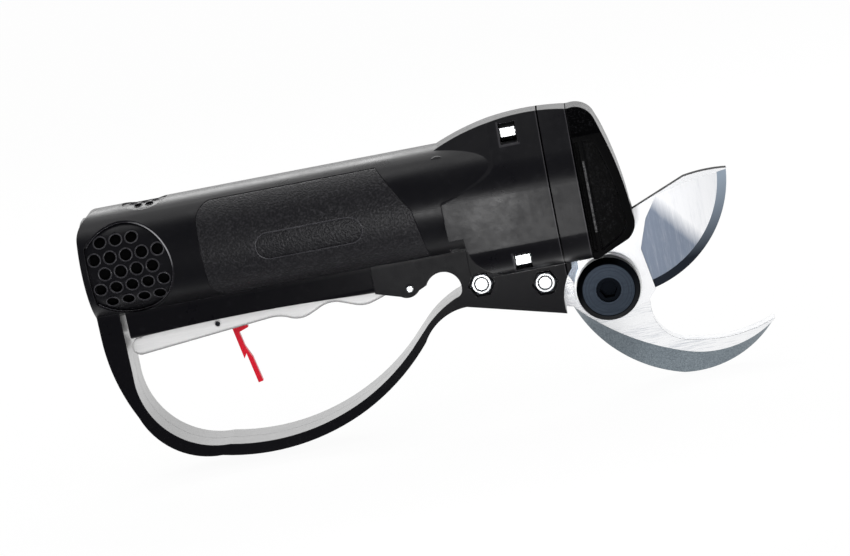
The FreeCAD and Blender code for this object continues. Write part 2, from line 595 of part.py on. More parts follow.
def hollowShell(body, side):
    span = s.headHalf * side
    floorHalf = chordHalf(boreRadius, floorDrop)
    bore = [(zero, -floorDrop), (floorHalf, -floorDrop), (zero, boreRadius, boreRadius)]
    pocket(body, "bore", "x", s.mouthDepth, s.housingLength,
           lambda sketch: outline(sketch, sided(side, bore)))
    mouth = [(zero, s.mouthRadius, s.mouthRadius), (zero, -s.mouthRadius)]
    pocket(body, "mouth", "x", zero, s.mouthDepth, lambda sketch: outline(sketch, sided(side, mouth)))
    slot = [(zero, -s.lugDrop - s.beyond), (s.slotHalf, -s.lugDrop - s.beyond), (s.slotHalf, -slotRoof),
            (zero, -slotRoof)]
    pocket(body, "leverSlot", "x", s.guardRearInner, s.slotFront,
           lambda sketch: outline(sketch, sided(side, slot)))
    track = [(zero, -s.trackDrop), (s.trackHalf, -s.trackDrop), (s.trackHalf, -s.sleeveDrop),
             (zero, -s.sleeveDrop)]
    pocket(body, "forkTrack", "x", s.trackRear, s.webNoseX,
           lambda sketch: outline(sketch, sided(side, track)))
    if side == near:
        sweep = -s.tailSweepZ
        start = s.trackRear + s.beyond
        tail = [(start, -s.webStep), (start, -s.trackDrop), (s.tailFrontX, sweep),
                (s.webNoseX + s.beyond, sweep), (s.webNoseX + s.beyond, -s.webStep)]
        pocket(body, "tailRelief", "y", zero, bladeNear - s.cheekGap,
               lambda sketch: outline(sketch, tail))
    else:
        fit = s.tangFit
        tang = [(s.tangRear - fit, -s.tangRearLow - fit),
                (s.hookHeelX + s.tangClear, -s.hookHeelZ - s.tangClear),
                (s.webNoseX + s.beyond, -s.hookHeelZ), (s.webNoseX + s.beyond, -s.tangFrontTop + fit),
                (s.tangFrontX, -s.tangFrontTop + fit), (s.tangRear - fit, -s.tangRearTop + fit)]
        pocket(body, "tangSeat", "y", zero, hookFar + fit, lambda sketch: outline(sketch, tang))
    canSeat = s.canRadius + s.canFit
    ribs = [(s.windingRear, canSeat), (s.windingFront, canSeat), (s.sunFront, canSeat),
            (s.gearboxEnd + s.ribGap, s.thrustRadius + s.canFit)]

    def ribSections(sketch):
        for start, inner in ribs:
            rectangle(sketch, start, inner, start + s.ribThick, boreRadius + s.overlap)

    turn(body, "ribs", ribSections, side=side)
    postY = s.boardThick / 2 + s.pinFit + s.postRadius
    posts = [(s.postRear, postY * side), (s.postFront, postY * side)]
    pad(body, "boardPosts", "z", -floorDrop - s.overlap, -s.postTop,
        lambda sketch: circles(sketch, posts, s.postRadius))
    pad(body, "bosses", "y", zero, bossReach * side,
        lambda sketch: circles(sketch, screwPlaces, s.bossRadius))
    pocket(body, "ventOpening", "y", s.ventInner * side, span + s.beyond * side,
           lambda sketch: outline(sketch, ventCorners(s.ventFit)))
    pocket(body, "topVentOpening", "z", s.ventInner, s.barrelRadius + s.beyond,
           lambda sketch: circle(sketch, s.topVentX, zero, s.topVentRadius + s.ventFit))


def fastenShell(body, side):
    span = s.headHalf * side
    holes = screwPlaces + [(s.strapScrewX, -s.strapScrewZ)]
    pocket(body, "screwHoles", "y", zero, caseSeat * side,
           lambda sketch: circles(sketch, holes, s.caseScrew + s.pinFit))
    if side == far:
        pocket(body, "headHoles", "y", caseSeat, span + s.beyond,
               lambda sketch: circles(sketch, holes, s.caseScrewHead + s.holeFit))
    pocket(body, "leverPinHole", "y", s.slotHalf * side, span,
           lambda sketch: circle(sketch, s.leverPivotX, s.leverPivotZ, s.leverPinRadius + s.pinFit))
    waist = s.guardWaist * side
    pocket(body, "boltHoles", "y", zero, waist,
           lambda sketch: circles(sketch, webBolts, s.webBoltRadius + s.holeFit))
    if side == near:
        pocket(body, "nutPockets", "y", -s.guardWaist + s.pocketDepth, -s.guardHalf,
               lambda sketch: [hexagon(sketch, x, z, s.pocketFlats) for x, z in webBolts])
    else:
        pocket(body, "headSeats", "y", s.guardWaist - s.webHeadSink, s.guardHalf,
               lambda sketch: circles(sketch, webBolts, s.webHeadRadius + s.holeFit * 2))
    for index, (x, y, z) in enumerate(nutPlaces):
        inner = (y - s.nutFlats / 2 - s.holeFit) * side
        long, tall = s.windowLong / 2, s.windowTall / 2
        pocket(body, f"window{index}", "y", inner, span + s.beyond * side,
               lambda sketch: rectangle(sketch, x - long, z - tall, x + long, z + tall))
    pocket(body, "axialHoles", "x", lowerNutX, s.housingLength,
           lambda sketch: circles(sketch, [(y * side, z) for _, y, z in nutPlaces],
                                  s.screwRadius + s.holeFit))


def tubeBlank(body, inner, outer, start, end):
    corners = [(start, inner), (end, inner), (end, outer), (start, outer)]
    turn(body, "tube", lambda sketch: outline(sketch, corners))


def keepInside(body, name, axis, corners, reach, start, end):
    # removes all of the blank outside the closed outline, between two values of one coordinate
    left, low, right, high = reach

    def draw(sketch):
        rectangle(sketch, left, low, right, high)
        outline(sketch, corners)

    pocket(body, name, axis, start, end, draw)


def gripOutline(growth):
    top = s.gripTop + growth
    low = s.gripDrop + growth
    rear = s.gripRear - growth
    corner = s.gripCorner
    return [(rear + corner, -low, corner), (s.gripFront + growth, -low),
            (s.gripNoseX + growth, s.gripNoseZ), (s.gripSlantX + growth, top), (rear + corner, top),
            (rear, top - corner, corner), (rear, -low + corner)]


def gripBlank(label, side, growth, outer):
    body = newBody(label)
    inner = s.barrelRadius - s.gripThick - growth
    tubeBlank(body, inner, outer, s.gripRear - s.beyond, s.gripFront + s.beyond)
    back = s.barrelRadius + s.beyond * 2
    reach = (s.gripRear - s.beyond * 2, -back, s.gripFront + s.beyond * 2, back)
    keepInside(body, "trim", "y", gripOutline(growth), reach, zero, back * side)
    pocket(body, "half", "y", -back * side, (s.gripInner - growth) * side,
           lambda sketch: rectangle(sketch, *reach))
    return body


def gripPanel(side):
    name = "right_grip_panel" if side == near else "left_grip_panel"
    outer = s.barrelRadius + s.gripProud
    body = gripBlank(name + "_blank", side, zero, outer)
    long, tall = s.labelLong / 2, s.labelTall / 2
    straight = long - tall
    left, right = s.labelX - straight, s.labelX + straight
    low, high = s.labelZ - tall, s.labelZ + tall
    pill = [(right, low), (right, high, tall), (left, high), (left, low, tall)]
    label = newBody(name + "_label")
    tubeBlank(label, outer - s.labelDepth, outer + s.overlap, left - tall - s.beyond,
              right + tall + s.beyond)
    high = s.barrelRadius + s.beyond * 2
    reach = (left - tall - s.beyond * 2, -high, right + tall + s.beyond * 2, high)
    keepInside(label, "trim", "y", pill, reach, zero, high * side)
    pocket(label, "half", "y", -high * side, s.gripInner * side,
           lambda sketch: rectangle(sketch, *reach))
    return cutBy(name, body, [label])


def grilleHoles(pitch, rowPitch, centre, rim, reach):
    # staggered rows of hole centres about one point, kept within reach of the centre of the rim
    places = []
    for row in range(-3, 4):
        for column in range(-3, 4):
            x = centre[0] + pitch * (column + (0.5 if row % 2 else 0))
            z = centre[1] + rowPitch * row
            if math.hypot((x - rim[0]).value, (z - rim[1]).value) < reach.value:
                places.append((x, z))
    return places


def sideGrille(side):
    name = "right_vent_grille" if side == near else "left_vent_grille"
    body = newBody(name)
    outer = s.barrelRadius - s.ventDish
    tubeBlank(body, outer - s.ventThick, outer, s.ventEdge - s.overlap * 2,
              s.ventX + s.ventRadius + s.beyond)
    high = s.barrelRadius + s.beyond * 2
    reach = (s.ventEdge - s.beyond * 2, -high, s.ventX + s.ventRadius + s.beyond * 2, high)
    keepInside(body, "trim", "y", ventCorners(zero), reach, zero, high * side)
    pocket(body, "half", "y", -high * side, s.ventInner * side,
           lambda sketch: rectangle(sketch, *reach))
    places = grilleHoles(s.ventPitch, s.ventRow, (s.ventHolesX, s.ventHolesZ), (s.ventX, s.ventZ),
                         s.ventRadius - s.ventRim - s.ventHole)
    edge = (s.ventEdge + s.ventRim + s.ventHole).value
    places = [place for place in places if place[0].value > edge]

    def draw(sketch):
        for x, z in places:
            circle(sketch, x, z, s.ventHole)

    pocket(body, "holes", "y", s.ventInner * side, high * side, draw)
    return finish(body, name)


def topGrille():
    body = newBody("top_vent_grille")
    outer = s.barrelRadius - s.ventDish / 2
    tubeBlank(body, outer - s.ventThick, outer, s.topVentX - s.topVentRadius - s.beyond,
              s.topVentX + s.topVentRadius + s.beyond)
    high = s.barrelRadius + s.beyond * 2
    wide = s.topVentRadius + s.beyond * 2
    reach = (s.topVentX - wide, -high, s.topVentX + wide, high)

    def rim(sketch):
        rectangle(sketch, *reach)
        circle(sketch, s.topVentX, zero, s.topVentRadius)

    pocket(body, "trim", "z", zero, high, rim)
    pocket(body, "half", "z", -high, s.ventInner, lambda sketch: rectangle(sketch, *reach))
    places = grilleHoles(s.topPitch, s.topRow, (s.topVentX, zero), (s.topVentX, zero),
                         s.topVentRadius - s.topHole)

    def draw(sketch):
        for x, y in places:
            circle(sketch, x, y, s.topHole)

    pocket(body, "holes", "z", s.ventInner, high, draw)
    return finish(body, "top_vent_grille")


def rearCap():
    body = newBody("rear_cap")
    back = s.capFace
    corners = [(back + s.capThick, s.inletRadius + s.pinFit), (back + s.capThick, s.capRadius),
               (back + s.capDome, s.capRadius), (back, s.capRadius - s.capDome),
               (back, s.inletRadius + s.pinFit)]
    turn(body, "disc", lambda sketch: outline(sketch, corners))
    return finish(body, "rear_cap")


# ------------------------------------------------------------------ collar and nose
def collarRing():
    body = newBody("collar_ring")
    for side in (near, far):
        pad(body, "block" + ("Near" if side == near else "Far"), "x", s.housingLength, collarFront,
            lambda sketch: outline(sketch, headSection(side)))
    crownCut(body, s.headHalf + s.beyond)
    pocket(body, "bearingSeat", "x", s.housingLength, collarFront,
           lambda sketch: circle(sketch, zero, zero, s.frontBearing + s.canFit))
    pocket(body, "forkSlot", "x", s.housingLength, collarFront,
           lambda sketch: rectangle(sketch, -s.trackHalf, -s.bellyDrop - s.beyond, s.trackHalf,
                                    -s.collarSlotTop))
    chamberTop = s.upperNutZ - s.screwHeadRadius - s.holeFit - s.collarWall
    chamber = [(-s.cavityHalf, -s.sleeveDrop), (s.cavityHalf, -s.sleeveDrop),
               (s.cavityHalf, chamberTop), (-s.cavityHalf, chamberTop)]
    pocket(body, "chamber", "x", s.housingLength + s.bulkhead, collarFront,
           lambda sketch: outline(sketch, chamber))
    holes = [(y * side, z) for _, y, z in nutPlaces for side in (near, far)]
    pocket(body, "screwHoles", "x", s.housingLength, collarFront,
           lambda sketch: circles(sketch, holes, s.screwRadius + s.holeFit))
    pocket(body, "headSeats", "x", collarFront - s.screwHead - s.holeFit, collarFront,
           lambda sketch: circles(sketch, holes, s.screwHeadRadius + s.holeFit))
    return finish(body, "collar_ring")


def noseSide(inset):
    # side outline of the nose, drawn in by an inset
    top = s.crownFrontDrop - inset
    low = -s.noseBaseZ + inset
    shoulder = s.noseShoulderX - inset * 0.8
    corners = [(collarFront, low), (collarFront, top), (collarFront + s.noseLand, top),
               (shoulder, s.noseShoulderZ - inset * 0.7, -s.noseShoulderSweep),
               (s.noseTipX - inset, -s.noseTipZ, -s.noseFrontSweep),
               (s.noseChinX - inset, -s.noseChinZ + inset * 0.6, -s.noseChinSweep),
               (s.noseBaseX, low)]
    return corners


def noseCover():
    body = newBody("nose_cover")
    pad(body, "block", "y", -s.noseHalf, s.noseHalf, lambda sketch: outline(sketch, noseSide(zero)))
    high, low = s.crownEnd + s.facetHigh, s.crownEnd - s.facetLow
    wide = flankHalf(s.facetLow) + s.noseHalf
    flank = [(flankHalf(-s.facetHigh), high), (flankHalf(s.facetLow), low), (wide, low), (wide, high)]
    for side in (near, far):
        pocket(body, "flank" + ("Near" if side == near else "Far"), "x", collarFront,
               s.noseTipX + s.beyond, lambda sketch: outline(sketch, sided(side, flank)))
    cavity = noseSide(s.noseWall)
    cavity[1:4] = [(collarFront, s.panelTop), (cavity[3][0], s.panelTop)]
    pocket(body, "cavity", "y", -s.cavityHalf, s.cavityHalf, lambda sketch: outline(sketch, cavity))
    front = s.noseTipX + s.beyond
    low = -s.noseBaseZ - s.beyond
    pocket(body, "bladeSlot", "y", -s.noseSlotNear, s.noseSlotFar,
           lambda sketch: rectangle(sketch, collarFront, low, front, -s.noseSlotTop))
    rib = s.noseRibX + s.noseRib / 2
    shoulder, front, chin = noseSide(s.noseRim)[3:6]
    panel = [(rib, -s.noseBaseZ + s.noseRim), (rib, s.panelTop), (shoulder[0], s.panelTop), front, chin]
    grooveFront = s.noseRibX - s.noseRib / 2
    for side in (near, far):
        name = "near" if side == near else "far"
        floor = (s.noseHalf - s.noseRecess) * side
        pocket(body, name + "Panel", "y", floor, s.noseHalf * side,
               lambda sketch: outline(sketch, panel))
        pocket(body, name + "Groove", "y", floor, s.noseHalf * side,
               lambda sketch: rectangle(sketch, collarFront + s.noseLip, -s.noseBaseZ + s.noseRim,
                                        grooveFront, s.panelTop))
    return finish(body, "nose_cover")


# ------------------------------------------------------------------ lever and safety catch
def leverBody():
    body = newBody("lever")
    bossTop = s.leverPivotZ + s.leverBoss
    bossLow = s.leverPivotZ - s.leverBoss
    side = [(s.leverRear + s.leverTipRound, -s.leverRearTop),
            (s.leverRear + s.leverTipRound, -s.leverRearLow, s.leverTipRound),
            (s.fingerRearX, -s.fingerRearZ), (s.rearSwellX, -s.rearSwellZ, -s.leadSweep),
            (s.rearSwellEndX, -s.rearSwellEndZ, s.rearSwell), (s.valleyX, -s.valleyZ),
            (s.valleyEndX, -s.valleyEndZ, -s.valleySweep), (s.frontSwellX, -s.frontSwellZ),
            (s.frontSwellEndX, -s.frontSwellEndZ, s.frontSwell), (s.fingerFrontX, -s.fingerFrontZ),
            (s.leverPivotX, bossLow),
            (s.leverPivotX, bossTop, s.leverBoss), (s.leverStepTo, -s.leverTop),
            (s.leverStepFrom, -s.leverRearTop)]
    pad(body, "plate", "y", -s.leverHalf, s.leverHalf, lambda sketch: outline(sketch, side))
    inner = s.leverHalf - s.leverWall
    hollow = [(s.hollowRear, -s.leverTop + s.beyond), (s.hollowRear, -s.hollowRearDrop),
              (s.hollowKneeX, -s.hollowFrontDrop), (s.hollowFront, -s.hollowFrontDrop),
              (s.hollowFront, -s.leverTop + s.beyond)]
    pocket(body, "channel", "y", -inner, inner, lambda sketch: outline(sketch, hollow))
    low = -s.leverRearLow
    pocket(body, "catchSlot", "y", -s.catchSlotHalf, s.catchSlotHalf,
           lambda sketch: rectangle(sketch, s.catchSlotRear, low, s.catchSlotFront, -s.leverTop))
    pocket(body, "springNotch", "y", -s.springHalf, s.springHalf,
           lambda sketch: rectangle(sketch, s.hollowFront + s.notchWall, bossLow - s.beyond,
                                    s.leverPivotX + s.leverBoss + s.beyond, bossTop + s.beyond))
    notch = s.catchSpringRadius + s.wireRadius + s.pinFit * 4
    pocket(body, "catchNotch", "y", s.catchSlotHalf - s.pinFit * 2, s.springHalf + s.springRoom,
           lambda sketch: rectangle(sketch, s.catchPivotX - notch, s.catchPivotZ - notch,
                                    s.catchPivotX + notch, -s.leverTop))
    pocket(body, "pivotBore", "y", -s.leverHalf, s.leverHalf,
           lambda sketch: circle(sketch, s.leverPivotX, s.leverPivotZ, s.leverPinRadius + s.pinFit))
    pocket(body, "catchBore", "y", -s.leverHalf, s.leverHalf,
           lambda sketch: circle(sketch, s.catchPivotX, s.catchPivotZ, s.catchPin + s.pinFit))
    pocket(body, "magnetSeat", "z", -s.leverTop - s.magnetLong, -s.leverTop,
           lambda sketch: circle(sketch, s.magnetX, zero, s.magnetRadius + s.pinFit))
    return finish(body, "lever")


def safetyCatch():
    body = newBody("safety_catch", s.catchPivotX, zero, s.catchPivotZ)
    arm = [(s.catchHeelX, -s.catchHeelZ), (s.catchStemX, -s.catchStemZ), (s.barbX, -s.barbZ),
           (s.barbRootX, -s.barbRootZ), (s.catchToeX, -s.catchToeZ), (s.catchEndX, -s.catchEndZ),
           (s.catchShinX, -s.catchShinZ), (s.catchKneeX, -s.catchKneeZ), (s.catchNeckX, -s.catchNeckZ),
           (s.catchNubX, -s.catchNubZ), (s.catchNubX, -s.catchNubTop), (s.catchTopX, s.catchTopZ)]
    half = s.catchHalf
    pad(body, "boss", "y", -half, half, lambda sketch: circle(sketch, zero, zero, s.catchBoss))
    pad(body, "arm", "y", -half, half, lambda sketch: outline(sketch, arm))
    pocket(body, "bore", "y", -half, half,
           lambda sketch: circle(sketch, zero, zero, s.catchPin + s.pinFit))
    return finish(body, "safety_catch")


def crossPin(label, radius, half, x, z):
    end = s.wireRadius / 2
    corners = [(zero, -half), (radius - end, -half), (radius, -half + end), (radius, half - end),
               (radius - end, half), (zero, half)]
    return turnedAcross(label, corners, x, z)


def torsionSpring(label, radius, turns, start, x, z):
    # a coil about the Y axis
    body = newBody(label, x, zero, z)
    pitch = 2 * s.wireRadius + s.pinFit
    profile = newSketch(body, "wire", "XY_Plane")
    circle(profile, radius, start, s.wireRadius)
    doc.recompute()
    coil = body.newObject("PartDesign::AdditiveHelix", "coil")
    coil.Profile = profile
    coil.ReferenceAxis = (profile, ["V_Axis"])
    coil.Mode = "pitch-turns-angle"
    coil.Pitch = pitch.value
    coil.Turns = turns.value
    bind(coil, "Pitch", pitch)
    bind(coil, "Turns", turns)
    doc.recompute()
    return finish(body, label)


# ------------------------------------------------------------------ cutting head
def aboutPivot(corners):
    return [(corner[0] - s.pivotX, corner[1] - s.pivotZ) + tuple(corner[2:]) for corner in corners]


def around(x, z, radius, angle):
    return (x + radius * cosine(angle), z + radius * sine(angle))


def bladeBody():
    body = newBody("blade", s.pivotX, zero, s.pivotZ)
    hubStart = around(s.pivotX, s.pivotZ, s.hubRadius, s.hubTo)
    hubEnd = around(s.pivotX, s.pivotZ, s.hubRadius, s.hubFrom)
    tailStart = around(crankX, crankZ, s.tailRadius, s.tailFrom)
    tailEnd = around(crankX, crankZ, s.tailRadius, s.tailTo)
    corners = [(s.spineRootX, -s.spineRootZ), (s.spineKneeX, -s.spineKneeZ),
               (tipX, -s.tipZ, -s.spineSweep), (s.heelX, -s.heelZ, -s.edgeSweep),
               (s.heelBackX, -s.heelBackZ), hubStart, hubEnd + (-s.hubRadius,), tailStart,
               tailEnd + (-s.tailRadius,)]
    pad(body, "plate", "y", bladeNear, zero, lambda sketch: outline(sketch, aboutPivot(corners)))
    grind = [(s.grindTopX, -s.grindTopZ), (s.grindNeckX, -s.grindNeckZ),
             (s.grindWaistX, -s.grindWaistZ), (s.heelX, -s.heelZ), (tipX, -s.heelZ - s.beyond * 2),
             (tipX + s.beyond * 2, -s.tipZ), (s.spineKneeX, -s.grindCrest)]
    pocket(body, "grind", "y", bladeNear + s.grindDepth, bladeNear,
           lambda sketch: outline(sketch, aboutPivot(grind)))
    pocket(body, "pivotBore", "y", bladeNear, zero,
           lambda sketch: circle(sketch, zero, zero, s.bushRadius + s.pivotFit))
    pocket(body, "crankBore", "y", bladeNear, zero,
           lambda sketch: circle(sketch, crankX - s.pivotX, crankZ - s.pivotZ, s.crankPin + s.pinFit))
    floor = (bladeNear + s.grindDepth).value
    edges = edgesWhere(body, lambda edge: edge.Curve.TypeId == "Part::GeomCircle"
                       and abs(edge.Curve.Radius - s.edgeSweep.value) < 0.01
                       and all(abs(v.Point.y - floor) < 0.01 for v in edge.Vertexes))
    chamfer(body, "bevel", edges, s.bladeThick - s.grindDepth - s.bevelLand, s.bevelWide)
    return finish(body, "blade")


def hookOutline(tip, tipLow, mid, midSweep, heel, heelSweep):
    hubStart = around(s.pivotX, s.pivotZ, s.hookHub, s.hubRise)
    hubEnd = around(s.pivotX, s.pivotZ, s.hookHub, s.hubRight)
    return [(s.tangRear, -s.tangRearTop), (s.tangFrontX, -s.tangFrontTop), hubStart,
            hubEnd + (-s.hookHub,), (s.throatX, -s.throatZ), (s.bowlX, -s.bowlZ, s.throatSweep),
            tip + (s.bowlSweep,), tipLow, mid + (-midSweep,), heel + (-heelSweep,),
            (s.tangRear, -s.tangRearLow)]


def hookBody():
    body = newBody("hook_blade", s.pivotX, zero, s.pivotZ)
    tip = (s.hookTipX, -s.hookTipZ)
    full = hookOutline(tip, (s.hookTipX, -s.hookTipLow), (s.hookBackX, -s.hookBackZ),
                       s.hookOuterSweep, (s.hookHeelX, -s.hookHeelZ), s.hookHeelSweep)
    face = hookOutline(tip, (s.flankTipX, -s.flankTipZ), (s.flankMidX, -s.flankMidZ),
                       s.flankOuterSweep, (s.flankHeelX, -s.flankHeelZ), s.flankHeelSweep)
    inner = newSketch(body, "face", "XZ_Plane", -s.bladeGap)
    outline(inner, aboutPivot(face))
    outer = newSketch(body, "shoulder", "XZ_Plane", -s.hookFlank)
    outline(outer, aboutPivot(full))
    doc.recompute()
    flank = body.newObject("PartDesign::AdditiveLoft", "flank")
    flank.Profile = inner
    flank.Sections = [outer]
    flank.Ruled = True
    doc.recompute()
    pad(body, "back", "y", s.hookFlank, hookFar, lambda sketch: outline(sketch, aboutPivot(full)))
    pocket(body, "pivotBore", "y", s.bladeGap, hookFar,
           lambda sketch: circle(sketch, zero, zero, s.bushRadius + s.pivotFit))
    bolts = [(x - s.pivotX, z - s.pivotZ) for x, z in webBolts]
    pocket(body, "boltHoles", "y", s.bladeGap, hookFar,
           lambda sketch: circles(sketch, bolts, s.webBoltRadius + s.holeFit))
    return finish(body, "hook_blade")


def pivotParts():
    x, z = s.pivotX, s.pivotZ
    nutNear = hookFar + s.farWasher
    nutFar = nutNear + s.pivotNutThick
    edge = s.pivotHead - s.pivotFace
    bolt = turnedAcross("pivot_bolt", [(zero, headNear), (s.pivotFace, headNear),
                                       (s.pivotHead, headNear + edge), (s.pivotHead, washerNear),
                                       (s.pivotShank, washerNear), (s.pivotShank, nutFar + s.boltProud),
                                       (zero, nutFar + s.boltProud)], x, z)
    pocket(bolt, "recess", "y", headNear + s.recessDepth, headNear,
           lambda sketch: circle(sketch, zero, zero, s.socketRecess))
    pocket(bolt, "socket", "y", headNear + s.socketDepth, headNear,
           lambda sketch: hexagon(sketch, zero, zero, s.socketFlats))
    finish(bolt, "pivot_bolt")
    bore = s.pivotShank + s.pivotFit
    washer = turnedAcross("pivot_washer", [(bore, washerNear), (s.washerRadius, washerNear),
                                           (s.washerRadius, bladeNear), (bore, bladeNear)], x, z)
    finish(washer, "pivot_washer")
    bush = turnedAcross("pivot_bush", [(bore, bladeNear), (s.bushRadius, bladeNear),
                                       (s.bushRadius, hookFar), (bore, hookFar)], x, z)
    finish(bush, "pivot_bush")
    disc = s.pivotNutFlats / 2 + s.farWasher
    under = turnedAcross("far_washer", [(bore, hookFar), (disc, hookFar), (disc, nutNear),
                                        (bore, nutNear)], x, z)
    finish(under, "far_washer")
    nut = newBody("pivot_nut", x, zero, z)
    pad(nut, "hex", "y", nutNear, nutFar,
        lambda sketch: hexagon(sketch, zero, zero, s.pivotNutFlats))
    pocket(nut, "bore", "y", nutNear, nutFar, lambda sketch: circle(sketch, zero, zero, bore))
    finish(nut, "pivot_nut")


# ------------------------------------------------------------------ drive
def driveFork():
    body = newBody("drive_fork")
    end = s.sleeveX + s.sleeveLong
    nearCheek = bladeNear - s.cheekGap
    sections = [(nearCheek - s.cheekThick, nearCheek), (s.cheekGap, s.cheekGap + s.cheekThick)]
    pad(body, "sleeve", "x", s.sleeveX, end, lambda sketch: circle(sketch, zero, zero, s.sleeveRadius))
    pad(body, "saddle", "x", s.sleeveX, end,
        lambda sketch: rectangle(sketch, sections[0][0], -s.armDrop, sections[1][1], zero))
    pocket(body, "nutSeat", "x", s.sleeveX, end,
           lambda sketch: circle(sketch, zero, zero, s.nutRadius + s.canFit))
    left, right = forkX - s.prongHalf, forkX + s.prongHalf
    slot = s.rollerRadius + s.rollerFit
    armRoot = end - s.overlap * 2
    side = [(armRoot, -s.armTop), (armRoot, -s.armDrop), (left, -s.armDrop), (left, -s.prongDrop),
            (forkX - slot, -s.prongDrop), (forkX - slot, -s.slotTop), (forkX + slot, -s.slotTop),
            (forkX + slot, -s.prongDrop), (right, -s.prongDrop), (right, -s.armTop)]
    for name, (start, stop) in zip(("nearCheek", "farCheek"), sections):
        pad(body, name, "y", start, stop, lambda sketch: outline(sketch, side))
    return finish(body, "drive_fork")


def crankParts():
    x, z = crankX, crankZ
    nearFace = bladeNear - s.cheekGap - s.cheekThick
    farFace = s.cheekGap + s.cheekThick
    pinBody = turnedAcross("crank_pin", [(zero, nearFace), (s.crankPin, nearFace),
                                         (s.crankPin, farFace), (zero, farFace)], x, z)
    finish(pinBody, "crank_pin")
    bore = s.crankPin + s.pinFit
    rollers = []
    for name, start, stop in (("nearRoller", nearFace, bladeNear - s.cheekGap),
                              ("farRoller", s.cheekGap, farFace)):
        rollers.append(turnedAcross(name, [(bore, start), (s.rollerRadius, start),
                                           (s.rollerRadius, stop), (bore, stop)], x, z))
    group("fork_rollers", rollers)


def driveParts():
    screw = turned("drive_screw", [(s.carrierFront, zero), (s.carrierFront, s.screwJournal),
                                   (s.gearboxEnd + s.canFit, s.screwJournal),
                                   (s.gearboxEnd + s.canFit, s.screwFlange),
                                   (s.driveX, s.screwFlange), (s.driveX, s.screwRadiusDrive),
                                   (s.journalX, s.screwRadiusDrive), (s.journalX, s.screwJournal),
                                   (s.screwEnd, s.screwJournal), (s.screwEnd, zero)])
    finish(screw, "drive_screw")
    start = s.sleeveX + (s.sleeveLong - s.nutLong) / 2
    finish(ring("drive_nut", s.screwRadiusDrive + s.runFit, s.nutRadius, start, start + s.nutLong),
           "drive_nut")
    finish(ring("thrust_bearing", s.screwFlange + s.runFit, s.thrustRadius, s.gearboxEnd + s.canFit,
                s.gearboxEnd + s.thrustWide), "thrust_bearing")
    finish(ring("front_bearing", s.screwJournal + s.runFit, s.frontBearing, s.journalX + s.canFit,
                s.journalX + s.frontBearingWide), "front_bearing")


def motorParts():
    inner = s.canRadius - s.canWall
    hub = s.bearingOuter + s.hubWall
    seat = s.bearingOuter + s.canFit
    back, front = s.motorX, s.motorEnd
    backIn, frontIn = back + s.canWall, front - s.canWall
    backHub, frontHub = backIn + s.bearingWide, frontIn - s.bearingWide
    can = turned("motor_can", [(back, s.shaftHole), (backIn, s.shaftHole), (backIn, seat),
                               (backHub, seat), (backHub, hub), (backIn, hub), (backIn, inner),
                               (frontIn, inner), (frontIn, hub), (frontHub, hub), (frontHub, seat),
                               (frontIn, seat), (frontIn, s.shaftHole), (front, s.shaftHole),
                               (front, s.canRadius), (back, s.canRadius)])
    finish(can, "motor_can")
    finish(ring("motor_stator", s.statorBore, inner - s.canFit, s.windingRear, s.windingFront),
           "motor_stator")
    bearings = []
    for name, start in (("rearBearing", backIn), ("innerBearing", frontHub)):
        bearings.append(ring(name, s.shaftRadius + s.runFit, s.bearingOuter, start,
                             start + s.bearingWide))
    group("motor_bearings", bearings)
    rotor = turned("motor_rotor", [(backIn, zero), (backIn, s.shaftRadius),
                                   (s.windingRear, s.shaftRadius), (s.windingRear, s.rotorRadius),
                                   (s.windingFront, s.rotorRadius), (s.windingFront, s.shaftRadius),
                                   (s.sunRear, s.shaftRadius), (s.sunRear, s.sunRadius),
                                   (s.sunFront, s.sunRadius), (s.sunFront, zero)])
    finish(rotor, "motor_rotor")


def gearboxParts():
    reach = s.sunRadius + s.gearGap + s.planetRadius
    ringBore = reach + s.planetRadius + s.gearGap
    back, front = s.motorEnd, s.gearboxEnd
    case = turned("gearbox_case", [(back, s.shaftHole), (back + s.caseWall, s.shaftHole),
                                   (back + s.caseWall, ringBore), (front - s.caseWall, ringBore),
                                   (front - s.caseWall, s.screwFlange + s.runFit),
                                   (front, s.screwFlange + s.runFit), (front, s.canRadius),
                                   (back, s.canRadius)])
    finish(case, "gearbox_case")
    places = [(reach * cosine(sized(angle)), reach * sine(sized(angle))) for angle in (90, 210, 330)]
    carrier = turned("planet_carrier", [(s.carrierRear, zero), (s.carrierRear, s.carrierRadius),
                                        (s.carrierFront, s.carrierRadius),
                                        (s.carrierFront, s.screwFlange), (front, s.screwFlange),
                                        (front, s.screwJournal + s.canFit),
                                        (s.carrierFront, s.screwJournal + s.canFit),
                                        (s.carrierFront, zero)])
    pad(carrier, "pins", "x", s.planetRear, s.carrierRear,
        lambda sketch: circles(sketch, places, s.planetPin))
    finish(carrier, "planet_carrier")
    for index, (y, z) in enumerate(places, start=1):
        label = f"planet_gear_{index}"
        finish(ring(label, s.planetPin + s.runFit, s.planetRadius, s.planetRear, s.planetFront,
                    zero, y, z), label)


